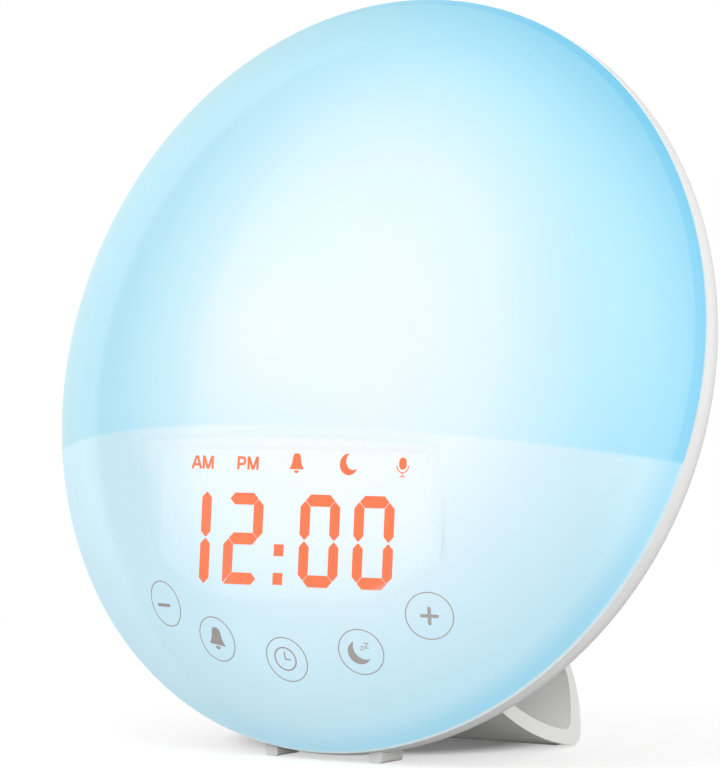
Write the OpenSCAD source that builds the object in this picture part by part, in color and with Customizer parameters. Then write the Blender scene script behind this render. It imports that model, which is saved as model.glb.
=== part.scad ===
/* [Disc] */
// Radius of the seam between the dome and the rear housing
seam_r = 86; // [82:0.5:96]
// Angle by which the disc leans back from upright
lean_back = 13; // [10:0.5:16]
// Height of the seam's lowest point above the table
rim_clearance = 1.8; // [1.5:0.1:3]

/* [Dome] */
// Height of the dome in front of its seam
dome_h = 36.4; // [35:0.2:42]
// Wall of the dome
dome_wall = 2.4; // [1.8:0.1:2.8]
// Depth of the dome's skirt behind the seam
skirt_depth = 4; // [3.6:0.1:4.4]
// Wall of the skirt
skirt_wall = 1.6; // [1.2:0.1:1.8]
// Gap between the skirt and the housing
skirt_gap = 0.15; // [0.1:0.05:0.3]
// Number of snap hooks on the skirt
hook_count = 6; // [4:1:10]

/* [Rear housing] */
// Depth of the housing behind the seam
housing_depth = 38; // [36:0.5:44]
// Wall of the housing
housing_wall = 2.4; // [2:0.1:2.8]
// Length of the straight band behind the seam
rim_band = 3; // [2.6:0.1:4]
// Radius of the rounding behind the band
rim_round = 8; // [7:0.5:10]
// Angle between the housing's flank and the disc's axis
flank_angle = 38; // [35:0.5:40]
// Radius of the rounding round the flat back
back_round = 14; // [12:0.5:16]
// Width of the shadow line between dome and housing
reveal = 0.4; // [0.2:0.1:0.8]

/* [Stand] */
// Width of the stand's band
stand_w = 63; // [56:1:70]
// How far the heel reaches behind the disc's centre
heel_reach = 40; // [38:0.5:44]
// Outer radius of the heel
heel_r = 3; // [2.6:0.1:4]
// Outer radius of the rear arm's bow
arm_r = 28; // [26:0.5:31]
// Thickness of the band at the heel
heel_t = 4.2; // [3.8:0.1:5]
// Thickness of the rear arm where it meets the housing
arm_t = 2.2; // [1.8:0.1:2.8]
// Outer radius of the sole's bow
sole_r = 80; // [74:1:90]
// Thickness of the sole
sole_t = 3.3; // [2.8:0.1:4]
// Radius inside the heel
heel_fillet = 2; // [1.4:0.1:2.6]
// Gap round the stand's tongues in the housing
stand_gap = 0.06; // [0.04:0.02:0.12]

/* [Feet] */
// Distance of each front foot from the middle
foot_x = 13.9; // [10:0.1:18]
// Width of a front foot
foot_w = 3.2; // [3:0.1:6]
// Length of a front foot
foot_l = 8.4; // [7.6:0.2:12]

/* [Display] */
// Height of a digit
digit_h = 20.1; // [18:0.1:21]
// Width of a digit
digit_w = 10.2; // [9:0.1:10.8]
// Distance from one digit to the next
digit_pitch = 14.2; // [13.4:0.1:14.8]
// Extra distance where the colon stands
colon_space = 6.2; // [5.4:0.1:6.8]
// Thickness of the level segments
bar_t = 2.6; // [2.2:0.1:3]
// Thickness of the upright segments
post_t = 2.35; // [2:0.05:2.8]
// Distance of the digits' foot below the disc's centre
digit_drop = 52.1; // [50:0.1:53]
// Distance of the digits' foot in front of the seam
digit_front = 16.7; // [15.5:0.1:17]
// Angle by which the display stands more upright than the disc
display_tilt = 8.5; // [7:0.5:10]
// Distance from one symbol to the next
symbol_pitch = 13.3; // [12:0.1:13.6]

/* [Touch keys] */
// Distance of the touch marks from the disc's centre
touch_r = 67.4; // [66:0.2:70]
// Angle from one touch mark to the next
touch_step = 16; // [14:0.5:17]
// Radius of a touch spring
spring_r = 2.2; // [1.8:0.1:2.6]
// Wire radius of a touch spring
spring_wire = 0.3; // [0.2:0.05:0.4]

/* [Lamp] */
// Radius of the lamp board
lamp_r = 38; // [34:0.5:42]
// Height of the lamp board's middle above the disc's centre
lamp_up = 24; // [22:0.5:28]
// Side of a lamp LED
led_size = 5; // [3:0.5:6]
// Distance of the light baffle below the disc's centre
baffle_drop = 20; // [18.5:0.1:20.5]
// Thickness of the baffle
baffle_t = 1.6; // [1.2:0.1:1.8]

/* [Speaker] */
// Height of the speaker's middle above the disc's centre
speaker_up = 14; // [12:0.5:15]
// Side of the speaker's square flange
speaker_size = 40; // [36:0.5:41]
// Radius of the grille disc
grille_r = 21.5; // [19.5:0.5:22]
// Radius of one grille hole
grille_hole_r = 0.9; // [0.6:0.1:1.2]
// Distance from one ring of grille holes to the next
grille_pitch = 3.5; // [3.2:0.1:4]
// Travel of the cone to either side
cone_travel = 0.4; // [0.2:0.1:0.5]

/* [Rear keys] */
// Distance of each rear key from the middle
key_x = 13; // [12.8:0.1:13.2]
// Height of the rear keys above the disc's centre
key_up = 44.5; // [44:0.1:44.8]
// Length of a key
key_l = 15; // [13:0.5:15]
// Width of a key
key_w = 8; // [7:0.5:8]
// How far a key stands out of the back
key_proud = 1; // [0.8:0.1:1.6]
// Travel of a key
key_travel = 0.5; // [0.3:0.1:0.6]
// Gap round a key
key_gap = 0.2; // [0.15:0.05:0.3]

/* [Battery] */
// Radius of the coin cell
cell_r = 10; // [8:0.5:10]
// Thickness of the coin cell
cell_t = 3.2; // [2:0.1:3.2]
// Length of the battery door
door_l = 36; // [34:0.5:37]
// Height of the battery door
door_h = 23; // [22.5:0.5:24]
// Thickness of the battery door
door_t = 1.8; // [1.5:0.1:1.9]
// Gap round the battery door
door_gap = 0.2; // [0.15:0.05:0.3]

/* [Boards] */
// Thickness of every circuit board
board_t = 1.6; // [1:0.1:2]
// Space between the back wall and the rear boards
board_gap = 7.6; // [7.4:0.1:8]
// Thickness of a ribbon cable
ribbon_t = 0.4; // [0.3:0.1:0.6]
// Height of the tray's floor behind the seam
tray_drop = 6.2; // [6:0.1:6.6]
// Thickness of the tray
tray_t = 1.8; // [1.4:0.1:2.2]

/* [Fasteners] */
// Shank radius of the housing screws
housing_screw_r = 1.45; // [1.2:0.05:1.6]
// Shank radius of the small screws
small_screw_r = 1; // [0.8:0.05:1.1]
// Radial gap between a screw and its hole
screw_gap = 0.05; // [0.03:0.01:0.1]

/* [Hidden] */

WHITE = [0.91, 0.91, 0.90];
INNER_WHITE = [0.96, 0.96, 0.94];
GLOW = [0.72, 0.91, 0.98];
ORANGE = [0.99, 0.49, 0.31];
BOARD = [0.10, 0.35, 0.22];
STEEL = [0.72, 0.73, 0.75];
BLACK = [0.12, 0.12, 0.13];
RIBBON = [0.86, 0.86, 0.84];
RUBBER = [0.35, 0.35, 0.36];

SMOOTH = 180;
ROUND = 48;
SMALL = 24;
CUT = 1;          // how far a cut runs past the face it opens
LAP = 0.5;        // how far joined solids run into each other

// ---------------------------------------------------------------- disc frame
// X to the right, Y up the disc, Z out of its front. The seam lies at Z = 0.

dome_r = (seam_r * seam_r + dome_h * dome_h) / (2 * dome_h);
dome_z = dome_h - dome_r;
disc_up = seam_r * cos(lean_back) + rim_clearance;

flank = [cos(flank_angle), -sin(flank_angle)];
rim_centre = [seam_r - rim_round, -rim_band];
back_centre_z = back_round - housing_depth;
back_centre = [
    rim_centre[0] + (rim_round - back_round
        + (back_centre_z - rim_centre[1]) * sin(flank_angle)) / cos(flank_angle),
    back_centre_z
];

// The model's origin is the middle of its footprint, front to back.
front_reach = dome_r + dome_z * cos(lean_back);
rear_reach = back_centre[0] * sin(lean_back) - back_centre[1] * cos(lean_back) + back_round;
disc_back = (front_reach - rear_reach) / 2;

inner_back = housing_wall - housing_depth;
rear_board_z = inner_back + board_gap;
rear_board_front = rear_board_z + board_t;

module at_disc()
    translate([0, disc_back, disc_up]) rotate([90 - lean_back, 0, 0]) children();

// Local frame on the back: Z points out of the back, 0 is the wall's inner face.
module at_back(x, y) translate([x, y, inner_back]) rotate([180, 0, 0]) children();

module dome_ball(inset) translate([0, 0, dome_z]) sphere(r = dome_r - inset, $fn = SMOOTH);

// Depth of the dome's inner face at a distance r from the disc's axis.
function dome_inside(r, inset = 0) = dome_z + sqrt(pow(dome_r - dome_wall - inset, 2) - r * r);

// Radius of the dome's inner face at a height above the seam.
function dome_inner_r(height) = sqrt(pow(dome_r - dome_wall, 2) - pow(height - dome_z, 2));

module bowl_profile(inset) {
    intersection() {
        union() {
            polygon([
                [0, 0],
                [seam_r - inset, 0],
                [seam_r - inset, -rim_band],
                rim_centre + (rim_round - inset) * flank,
                back_centre + (back_round - inset) * flank,
                [back_centre[0], inset - housing_depth],
                [0, inset - housing_depth]
            ]);
            translate(rim_centre) circle(r = rim_round - inset, $fn = ROUND);
            translate(back_centre) circle(r = back_round - inset, $fn = ROUND);
        }
        translate([0, -2 * housing_depth]) square([2 * seam_r, 2 * housing_depth]);
    }
}

module bowl(inset) rotate_extrude($fn = SMOOTH) bowl_profile(inset);

module stadium(length, width) {
    for (side = [-1, 1])
        translate([side * (length - width) / 2, 0]) circle(d = width, $fn = ROUND);
    square([length - width, width], center = true);
}

module rounded_box(length, width, height, corner) {
    linear_extrude(height) {
        square([length - 2 * corner, width], center = true);
        square([length, width - 2 * corner], center = true);
        for (x = [-1, 1], y = [-1, 1])
            translate([x * (length / 2 - corner), y * (width / 2 - corner)])
                circle(r = corner, $fn = ROUND);
    }
}

module ring(outer, inner, height) {
    difference() {
        cylinder(r = outer, h = height, $fn = ROUND);
        translate([0, 0, -CUT]) cylinder(r = inner, h = height + 2 * CUT, $fn = ROUND);
    }
}

// A pan-head screw: the head stands on Z = 0 and the shank runs down.
module screw(shank_r, shank_l, head_r, head_h) {
    slot_w = 0.35 * head_r;
    difference() {
        union() {
            cylinder(r = head_r, h = head_h, $fn = SMALL);
            translate([0, 0, -shank_l]) cylinder(r = shank_r, h = shank_l + LAP, $fn = SMALL);
        }
        for (turn = [0, 90])
            rotate(turn)
                translate([-0.65 * head_r, -slot_w / 2, 0.45 * head_h])
                    cube([1.3 * head_r, slot_w, head_h]);
    }
}

small_head_r = 1.9 * small_screw_r;
small_head_h = 1.2 * small_screw_r;
small_screw_l = 5;
small_bore_r = small_screw_r + screw_gap;

module small_screw() screw(small_screw_r, small_screw_l, small_head_r, small_head_h);

// ---------------------------------------------------------------- dome

skirt_r = seam_r - housing_wall - skirt_gap;
skirt_lap = 1.2;
hook_out = 0.55;
hook_turn = 8;
groove_top = 1.7;
groove_h = 1.8;
groove_depth = hook_out + skirt_gap + 0.1;

module front_dome() at_disc() color(GLOW) {
    difference() {
        intersection() {
            dome_ball(0);
            cylinder(r = seam_r + CUT, h = dome_h + CUT, $fn = SMOOTH);
        }
        intersection() {
            dome_ball(dome_wall);
            translate([0, 0, -CUT]) cylinder(r = seam_r, h = dome_h + CUT, $fn = SMOOTH);
        }
    }
    difference() {
        union() {
            translate([0, 0, -skirt_depth])
                cylinder(r = skirt_r, h = skirt_depth + skirt_lap, $fn = SMOOTH);
            snap_hooks();
        }
        translate([0, 0, -skirt_depth - CUT])
            cylinder(r = skirt_r - skirt_wall, h = skirt_depth + skirt_lap + 2 * CUT, $fn = SMOOTH);
    }
}

module snap_hooks() {
    for (i = [0:hook_count - 1])
        rotate(360 / hook_count * (i + 0.5) - hook_turn / 2)
            rotate_extrude(angle = hook_turn, $fn = SMOOTH)
                polygon([
                    [skirt_r - LAP, -groove_top - 0.1],
                    [skirt_r + hook_out, -groove_top - 0.2],
                    [skirt_r + hook_out, -groove_top - 0.6],
                    [skirt_r - LAP, -groove_top - groove_h + 0.1]
                ]);
}

// ---------------------------------------------------------------- rear housing

well_x = 52;
well_y = 44;
well_r = 5;
well_bore_r = 3.4;
well_floor = 2;
well_top = -12;
post_r = 2.6;
main_post_x = 35.5;
main_post_low = -41.5;
main_post_high = -15.5;
key_post_x = 26;
speaker_post_r = 2.8;
speaker_post_h = 3.2;
speaker_hole_pitch = speaker_size - 6;
grille_t = 1.6;
grille_gap = 0.15;
speaker_mouth_r = 18;
cell_x = -14.5;
cell_y = -28.5;
cell_gap = 0.3;
pocket_wall = 1.5;
pocket_depth = 5;
door_screw_x = door_l / 2 - 3;
jack_x = 13;
usb_x = 27;
ports_y = cell_y;
microphone_hole_r = 0.8;

module shell_profile() {
    difference() {
        bowl_profile(0);
        bowl_profile(housing_wall);
        translate([seam_r - housing_wall / 2, -reveal]) square([housing_wall, reveal + CUT]);
        translate([seam_r - housing_wall - CUT, -groove_top - groove_h])
            square([CUT + groove_depth, groove_h]);
    }
}

module at_wells() {
    for (x = [-1, 1], y = [-1, 1]) translate([x * well_x, y * well_y, 0]) children();
}

module at_main_posts() {
    for (x = [-1, 1], y = [main_post_low, main_post_high])
        translate([x * main_post_x, y, 0]) children();
}

module at_key_posts() {
    for (x = [-1, 1]) translate([x * key_post_x, key_up, 0]) children();
}

module at_door_screws() {
    for (side = [-1, 1]) at_back(cell_x + side * door_screw_x, cell_y) children();
}

module at_speaker_holes() {
    for (x = [-0.5, 0.5], y = [-0.5, 0.5])
        translate([x * speaker_hole_pitch, y * speaker_hole_pitch, 0]) children();
}

module housing_fittings() {
    intersection() {
        at_wells() translate([0, 0, -housing_depth])
            cylinder(r = well_r, h = housing_depth + well_top, $fn = ROUND);
        bowl(housing_wall / 2);
    }
    for_posts = board_gap + LAP;
    at_main_posts() translate([0, 0, inner_back - LAP]) cylinder(r = post_r, h = for_posts, $fn = ROUND);
    at_key_posts() translate([0, 0, inner_back - LAP]) cylinder(r = post_r, h = for_posts, $fn = ROUND);
    at_back(0, speaker_up) at_speaker_holes() translate([0, 0, -speaker_post_h])
        cylinder(r = speaker_post_r, h = speaker_post_h + LAP, $fn = ROUND);
    at_back(cell_x, cell_y) translate([0, 0, -pocket_depth])
        cylinder(r = cell_r + cell_gap + pocket_wall, h = pocket_depth + LAP, $fn = ROUND);
    at_door_screws() translate([0, 0, -pocket_depth])
        cylinder(r = post_r, h = pocket_depth + LAP, $fn = ROUND);
    translate([-ear_w / 2, ear_y, inner_back - LAP]) cube([ear_w, ear_t, ear_h + LAP]);
}

module housing_cuts() {
    at_wells() translate([0, 0, -housing_depth - CUT])
        cylinder(r = well_bore_r, h = housing_depth + well_top - well_floor + CUT, $fn = ROUND);
    at_wells() translate([0, 0, -housing_depth])
        cylinder(r = housing_screw_r + screw_gap, h = housing_depth, $fn = ROUND);
    at_main_posts() translate([0, 0, inner_back + 1])
        cylinder(r = small_bore_r, h = board_gap, $fn = SMALL);
    at_key_posts() translate([0, 0, inner_back + 1])
        cylinder(r = small_bore_r, h = board_gap, $fn = SMALL);
    at_back(0, speaker_up) {
        translate([0, 0, housing_wall - grille_t])
            cylinder(r = grille_r + grille_gap, h = grille_t + CUT, $fn = ROUND);
        translate([0, 0, -CUT])
            cylinder(r = speaker_mouth_r, h = housing_wall + 2 * CUT, $fn = ROUND);
        at_speaker_holes() translate([0, 0, -speaker_post_h - CUT])
            cylinder(r = small_bore_r, h = speaker_post_h + 1.8, $fn = SMALL);
    }
    at_back(cell_x, cell_y) {
        translate([0, 0, housing_wall - door_t])
            rounded_box(door_l + 2 * door_gap, door_h + 2 * door_gap, door_t + CUT, 3);
        translate([0, 0, cell_bottom - contact_h])
            cylinder(r = cell_r + cell_gap, h = pocket_depth + housing_wall, $fn = ROUND);
        contact_slots();
    }
    at_door_screws() translate([0, 0, 0.4 - pocket_depth])
        cylinder(r = small_bore_r, h = pocket_depth + housing_wall, $fn = SMALL);
    for (side = [-1, 1]) at_back(side * key_x, key_up)
        translate([0, 0, -CUT]) linear_extrude(housing_wall + 2 * CUT)
            stadium(key_l + 2 * key_gap, key_w + 2 * key_gap);
    at_back(0, key_up) translate([0, 0, -CUT])
        cylinder(r = microphone_hole_r, h = housing_wall + 2 * CUT, $fn = SMALL);
    at_back(jack_x, ports_y) translate([0, 0, -CUT])
        cylinder(r = jack_ring_r + port_gap, h = housing_wall + 2 * CUT, $fn = ROUND);
    at_back(usb_x, ports_y) translate([0, 0, housing_wall / 2])
        cube([usb_w + 2 * port_gap, usb_l + 2 * port_gap, housing_wall + 2 * CUT], center = true);
}

module rear_housing() color(WHITE) {
    difference() {
        at_disc() difference() {
            union() {
                rotate_extrude($fn = SMOOTH) shell_profile();
                housing_fittings();
            }
            housing_cuts();
            at_stand_screws() cylinder(r = small_bore_r, h = 12, center = true, $fn = SMALL);
        }
        stand_tongues(stand_gap);
        foot_stems(screw_gap);
    }
}

// ---------------------------------------------------------------- reflector tray

tray_gap = 0.85;
tray_r = skirt_r - skirt_wall - tray_gap;
tray_wall = 1.6;
tray_lip = 0.5;
tray_back = -tray_drop - tray_t;
well_boss_r = 4;
well_boss_front = 3;
lamp_post_r = 3;
lamp_board_z = 3 - tray_drop;
lamp_screw_ring = 31;
touch_board_z = 1.5;
slot_gap = 0.6;
display_post_gap = 0.5;
tab_count = 3;
tab_w = 8;
tab_pitch = 44;

module at_lamp_screws() {
    for (turn = [90, 210, 330])
        translate([0, lamp_up, 0]) rotate(turn) translate([lamp_screw_ring, 0, 0]) children();
}

module at_touch_screws() {
    for (turn = [-36.5, 8, 36.5])
        rotate(turn) translate([0, -touch_screw_r, 0]) children();
}

// The posts that carry the display board, which they meet square.
module display_posts(gap) {
    at_display() at_display_screws() translate([0, 0, -4 * display_depth])
        cylinder(r = post_r + gap, h = 3 * display_depth, $fn = ROUND);
}

module ribbon_slot(x, width, y) {
    translate([x - width / 2 - slot_gap, y - slot_gap, tray_back - CUT])
        cube([width + 2 * slot_gap, ribbon_t + 2 * slot_gap, tray_t + 2 * CUT]);
}

module baffle_tabs(gap) {
    for (i = [0:tab_count - 1])
        translate([(i - (tab_count - 1) / 2) * tab_pitch - tab_w / 2 - gap,
                   -baffle_drop - baffle_t - gap, tray_back - gap])
            cube([tab_w + 2 * gap, baffle_t + 2 * gap, tray_t + LAP + gap]);
}

module reflector_tray() at_disc() color(INNER_WHITE) {
    difference() {
        union() {
            translate([0, 0, tray_back]) cylinder(r = tray_r, h = tray_t, $fn = SMOOTH);
            translate([0, 0, tray_back])
                ring(tray_r, tray_r - tray_wall, tray_t + tray_drop - tray_lip, $fn = SMOOTH);
            at_wells() translate([0, 0, well_top])
                cylinder(r = well_boss_r, h = -well_top - tray_drop + well_boss_front, $fn = ROUND);
            at_lamp_screws() translate([0, 0, -tray_drop - LAP])
                cylinder(r = lamp_post_r, h = lamp_board_z + tray_drop + LAP, $fn = ROUND);
            at_touch_screws() translate([0, 0, -tray_drop - LAP])
                cylinder(r = post_r, h = touch_board_z + tray_drop + LAP, $fn = ROUND);
            intersection() {
                display_posts(0);
                translate([0, 0, -tray_drop - LAP]) cylinder(r = tray_r, h = dome_h, $fn = ROUND);
            }
        }
        at_wells() translate([0, 0, well_top - CUT])
            cylinder(r = housing_screw_r + screw_gap, h = CUT + 8.4, $fn = ROUND);
        at_lamp_screws() translate([0, 0, tray_back + 0.8])
            cylinder(r = small_bore_r, h = 2 * tray_drop, $fn = SMALL);
        at_touch_screws() translate([0, 0, touch_board_z - small_screw_l])
            cylinder(r = small_bore_r, h = small_screw_l + CUT, $fn = SMALL);
        at_display() at_display_screws() translate([0, 0, -display_depth - small_screw_l])
            cylinder(r = small_bore_r, h = small_screw_l + CUT, $fn = SMALL);
        ribbon_slot(display_ribbon_x, display_ribbon_w, display_ribbon_y);
        ribbon_slot(lamp_ribbon_x, lamp_ribbon_w, lamp_ribbon_y);
        ribbon_slot(touch_ribbon_x, touch_ribbon_w, touch_ribbon_y);
        baffle_tabs(0.1);
    }
}

baffle_clear = 0.5;

module light_baffle() at_disc() color(INNER_WHITE) {
    intersection() {
        translate([-seam_r, -baffle_drop - baffle_t, -tray_drop])
            cube([2 * seam_r, baffle_t, tray_drop + dome_h]);
        dome_ball(dome_wall + baffle_clear);
        cylinder(r = tray_r - tray_wall - baffle_clear, h = 4 * dome_h, center = true, $fn = SMOOTH);
    }
    baffle_tabs(0);
}

// ---------------------------------------------------------------- lamp

led_t = 1.6;
led_rings = [[0, 1], [13.5, 6], [26, 12]];

module lamp_board() at_disc() color(INNER_WHITE) {
    difference() {
        translate([0, lamp_up, lamp_board_z]) cylinder(r = lamp_r, h = board_t, $fn = SMOOTH);
        at_lamp_screws() translate([0, 0, lamp_board_z - CUT])
            cylinder(r = small_bore_r, h = board_t + 2 * CUT, $fn = SMALL);
    }
}

module led() {
    difference() {
        translate([-led_size / 2, -led_size / 2, 0]) cube([led_size, led_size, led_t]);
        translate([0, 0, led_t / 2]) cylinder(r = 0.4 * led_size, h = led_t, $fn = SMALL);
    }
}

module lamp_leds() at_disc() color([0.98, 0.97, 0.85]) {
    for (row = led_rings, i = [0:row[1] - 1])
        translate([0, lamp_up, lamp_board_z + board_t])
            rotate(360 / row[1] * (i + 0.5)) translate([row[0], 0, 0]) led();
}

module lamp_board_screws() at_disc() color(STEEL)
    at_lamp_screws() translate([0, 0, lamp_board_z + board_t]) small_screw();

// ---------------------------------------------------------------- display
// Local frame: origin at the middle of the digits' foot, Y up them, Z out of their face.

window_t = 1.2;
module_t = 6.8;
display_depth = window_t + module_t + board_t;
window_half = 37;
board_half = window_half - 1;
board_low = -3;
display_hole_x = board_half - 2.5;
window_gap = 0.4;
window_low = -5;
window_high = 29.6;
segment_proud = 0.4;
segment_gap = 0.2;
colon_shift = 0.4;
symbol_y = 26.7;
symbol_well = [7, 4.4];
symbol_well_t = 4;
lights_t = 4.6;
lights_half = 2 * symbol_pitch + 5.2;
lights_low = digit_h + 3.3;
module_low = -2.4;
module_floor = 1.2;
row_half = (3 * digit_pitch + colon_space + post_t) / 2;
module_half = row_half + 3.425;

module at_display()
    translate([0, -digit_drop, digit_front]) rotate([display_tilt, 0, 0]) children();

module at_display_screws() {
    for (x = [-1, 1], y = [5, 21.5]) translate([x * display_hole_x, y, 0]) children();
}

// A level segment between two corners: a bar with pointed ends.
module bar_segment(y) {
    left = post_t / 2 + segment_gap;
    right = digit_w - left;
    half = bar_t / 2;
    polygon([
        [left, y], [left + half, y + half], [right - half, y + half],
        [right, y], [right - half, y - half], [left + half, y - half]
    ]);
}

// An upright segment between two corners, or running on past one where no level one meets it.
module post_segment(x, low, foot = 0, head = 0) {
    bottom = low + segment_gap - foot;
    top = low + (digit_h - bar_t) / 2 - segment_gap + head;
    half = post_t / 2;
    polygon([
        [x, bottom], [x + half, bottom + half], [x + half, top - half],
        [x, top], [x - half, top - half], [x - half, bottom + half]
    ]);
}

// Segments run a, b, c, d, e, f, g: top, right upper, right lower, bottom, left lower,
// left upper, middle. B and C run to the digit's top and foot. m is the mitred corner at the
// bottom left.
module segment(name) {
    low = bar_t / 2;
    middle = digit_h / 2;
    left = post_t / 2;
    right = digit_w - left;
    end = low + segment_gap;
    if (name == "B") post_segment(right, middle, 0, end);
    if (name == "C") post_segment(right, low, end, 0);
    if (name == "a") bar_segment(digit_h - low);
    if (name == "b") post_segment(right, middle);
    if (name == "c") post_segment(right, low);
    if (name == "d") bar_segment(low);
    if (name == "e") post_segment(left, low);
    if (name == "f") post_segment(left, middle);
    if (name == "g") bar_segment(middle);
    if (name == "m") mitred_corner();
}

// Fills the corner between e and d, which meet in a sharp mitre where both are lit without f.
module mitred_corner() {
    low = bar_t / 2;
    x = post_t / 2;
    polygon([[0, 2 * segment_gap], [x, low + segment_gap], [0, low + x + segment_gap]]);
    polygon([[2 * segment_gap, 0], [x + low + segment_gap, 0], [x + segment_gap, low]]);
}

LIT = ["BC", "abgedm", "abcdef", "abcdef"];
WELLS = ["BC", "abcdefg", "abcdefg", "abcdefg"];

// The first digit is a 1, so the lit row starts at its right posts.
row_left = post_t - row_half - digit_w;

function digit_left(i) = row_left + i * digit_pitch + (i > 1 ? colon_space : 0);

module digit_row(names) {
    for (i = [0:3], name = names[i])
        translate([digit_left(i), 0]) segment(name);
    colon_x = (digit_left(1) + digit_w + digit_left(2)) / 2 - colon_shift;
    for (y = [0.07, 0.38])
        translate([colon_x - post_t / 2, y * digit_h - post_t / 2]) square([post_t, bar_t]);
}

module display_window() at_disc() color(INNER_WHITE) {
    intersection() {
        at_display() translate([-window_half, window_low, -window_t])
            cube([2 * window_half, window_high - window_low, window_t]);
        dome_ball(dome_wall + window_gap);
    }
}

module digit_segments() at_disc() at_display() color(ORANGE)
    linear_extrude(segment_proud) digit_row(LIT);

module symbol_lights() at_disc() at_display() color(BLACK) {
    difference() {
        translate([-lights_half, lights_low, -window_t - lights_t])
            cube([2 * lights_half, window_high - 0.2 - lights_low, lights_t]);
        for (i = [-2:2])
            translate([i * symbol_pitch, symbol_y, -window_t - symbol_well_t])
                linear_extrude(symbol_well_t + CUT) square(symbol_well, center = true);
    }
}

module display_module() at_disc() at_display() color(BLACK) {
    difference() {
        translate([-module_half, module_low, -window_t - module_t])
            cube([2 * module_half, digit_h + 5.2, module_t]);
        translate([0, 0, module_floor - window_t - module_t])
            linear_extrude(module_t) digit_row(WELLS);
    }
}

module display_board() at_disc() color(BOARD) at_display() {
    difference() {
        translate([-board_half, board_low, -display_depth])
            cube([2 * board_half, window_high - 0.6 - board_low, board_t]);
        at_display_screws() translate([0, 0, -display_depth - CUT])
            cylinder(r = small_bore_r, h = board_t + 2 * CUT, $fn = SMALL);
    }
}

module display_screws() at_disc() at_display() color(STEEL)
    at_display_screws() translate([0, 0, board_t - display_depth]) small_screw();

// ---------------------------------------------------------------- touch keys

touch_half = 7;
touch_board_gap = 1.4;
touch_board_r = dome_inner_r(touch_board_z + board_t) - touch_board_gap;
touch_screw_r = touch_board_r - post_r;
touch_reach = 2 * touch_step + 9;
touch_neck = 5;
touch_neck_side = 2;
touch_neck_end = 3;
spring_turns = 4;
spring_top = dome_inside(touch_r + spring_r + spring_wire) - 0.1;

module touch_board_outline() {
    far = 2 * seam_r;
    intersection() {
        difference() {
            circle(r = touch_board_r, $fn = SMOOTH);
            circle(r = touch_r - touch_half, $fn = SMOOTH);
        }
        polygon([[0, 0], [-far * sin(touch_reach), -far * cos(touch_reach)],
                 [far * sin(touch_reach), -far * cos(touch_reach)]]);
    }
    translate([touch_ribbon_x - touch_ribbon_w / 2 - touch_neck_side, touch_neck - touch_r])
        square([touch_ribbon_w + 2 * touch_neck_side,
                touch_r - touch_neck + touch_ribbon_y + touch_neck_end]);
}

module touch_board() at_disc() color(BOARD) {
    difference() {
        translate([0, 0, touch_board_z]) linear_extrude(board_t) touch_board_outline();
        at_touch_screws() translate([0, 0, touch_board_z - CUT])
            cylinder(r = small_bore_r, h = board_t + 2 * CUT, $fn = SMALL);
        display_posts(display_post_gap);
    }
}

// A wire coil standing on Z = 0: round sections along a helix, closed at both ends.
module coil(radius, wire, height, turns) {
    sides = 6;
    steps = 12 * turns;
    rise = height - 2 * wire;
    points = [for (i = [0:steps], k = [0:sides - 1])
        let (a = 360 * turns * i / steps, b = 360 * k / sides, reach = radius + wire * cos(b))
        [reach * cos(a), reach * sin(a), wire + rise * i / steps + wire * sin(b)]];
    walls = [for (i = [0:steps - 1], k = [0:sides - 1])
        let (p = i * sides + k, q = i * sides + (k + 1) % sides)
        [p, p + sides, q + sides, q]];
    first = [for (k = [0:sides - 1]) k];
    last = [for (k = [sides - 1:-1:0]) steps * sides + k];
    polyhedron(points = points, faces = concat(walls, [first], [last]));
}

module touch_springs() at_disc() color(STEEL) {
    foot = touch_board_z + board_t;
    for (i = [-2:2])
        rotate(i * touch_step) translate([0, -touch_r, foot])
            coil(spring_r, spring_wire, spring_top - foot, spring_turns);
}

module touch_board_screws() at_disc() color(STEEL)
    at_touch_screws() translate([0, 0, touch_board_z + board_t]) small_screw();

// ---------------------------------------------------------------- main board

main_half = 40;
main_low = -46;
main_high = -11;

module rear_board(half, low, high)
    translate([-half, low, rear_board_z]) cube([2 * half, high - low, board_t]);

module main_board() at_disc() color(BOARD) {
    difference() {
        rear_board(main_half, main_low, main_high);
        at_main_posts() translate([0, 0, rear_board_z - CUT])
            cylinder(r = small_bore_r, h = board_t + 2 * CUT, $fn = SMALL);
    }
}

// Each chip: where it stands, then its length, width and height.
chips = [
    [[-24, -28], [12, 12, 1.4]],
    [[28, -26], [6, 5, 1.5]],
    [[29, -36], [4, 4, 1]],
    [[-24, -39], [8, 3, 2.4]]
];
// Each capacitor: where it stands across the board, its radius and height.
capacitors = [[13, 2.9, 7], [20, 2.9, 7], [30, 2, 5]];
capacitor_y = main_high - 6.5;

module board_chips() at_disc() color(BLACK)
    for (chip = chips)
        translate([chip[0][0] - chip[1][0] / 2, chip[0][1] - chip[1][1] / 2, rear_board_front])
            cube(chip[1]);

module board_capacitors() at_disc() color([0.15, 0.18, 0.3])
    for (can = capacitors)
        translate([can[0], capacitor_y, rear_board_front])
            cylinder(r = can[1], h = can[2], $fn = ROUND);

module main_board_screws() at_disc() color(STEEL)
    at_main_posts() translate([0, 0, rear_board_front]) small_screw();

// ---------------------------------------------------------------- ribbons

ribbon_lap = 4.4;
display_ribbon_x = 0;
display_ribbon_w = 16;
display_ribbon_y = -35.9;
lamp_ribbon_x = -16;
lamp_ribbon_w = 12;
lamp_ribbon_y = -12.5;
touch_ribbon_x = 18;
touch_ribbon_w = 8;
touch_ribbon_y = -44.8;
key_ribbon_x = 26;
key_ribbon_w = 6;

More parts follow.
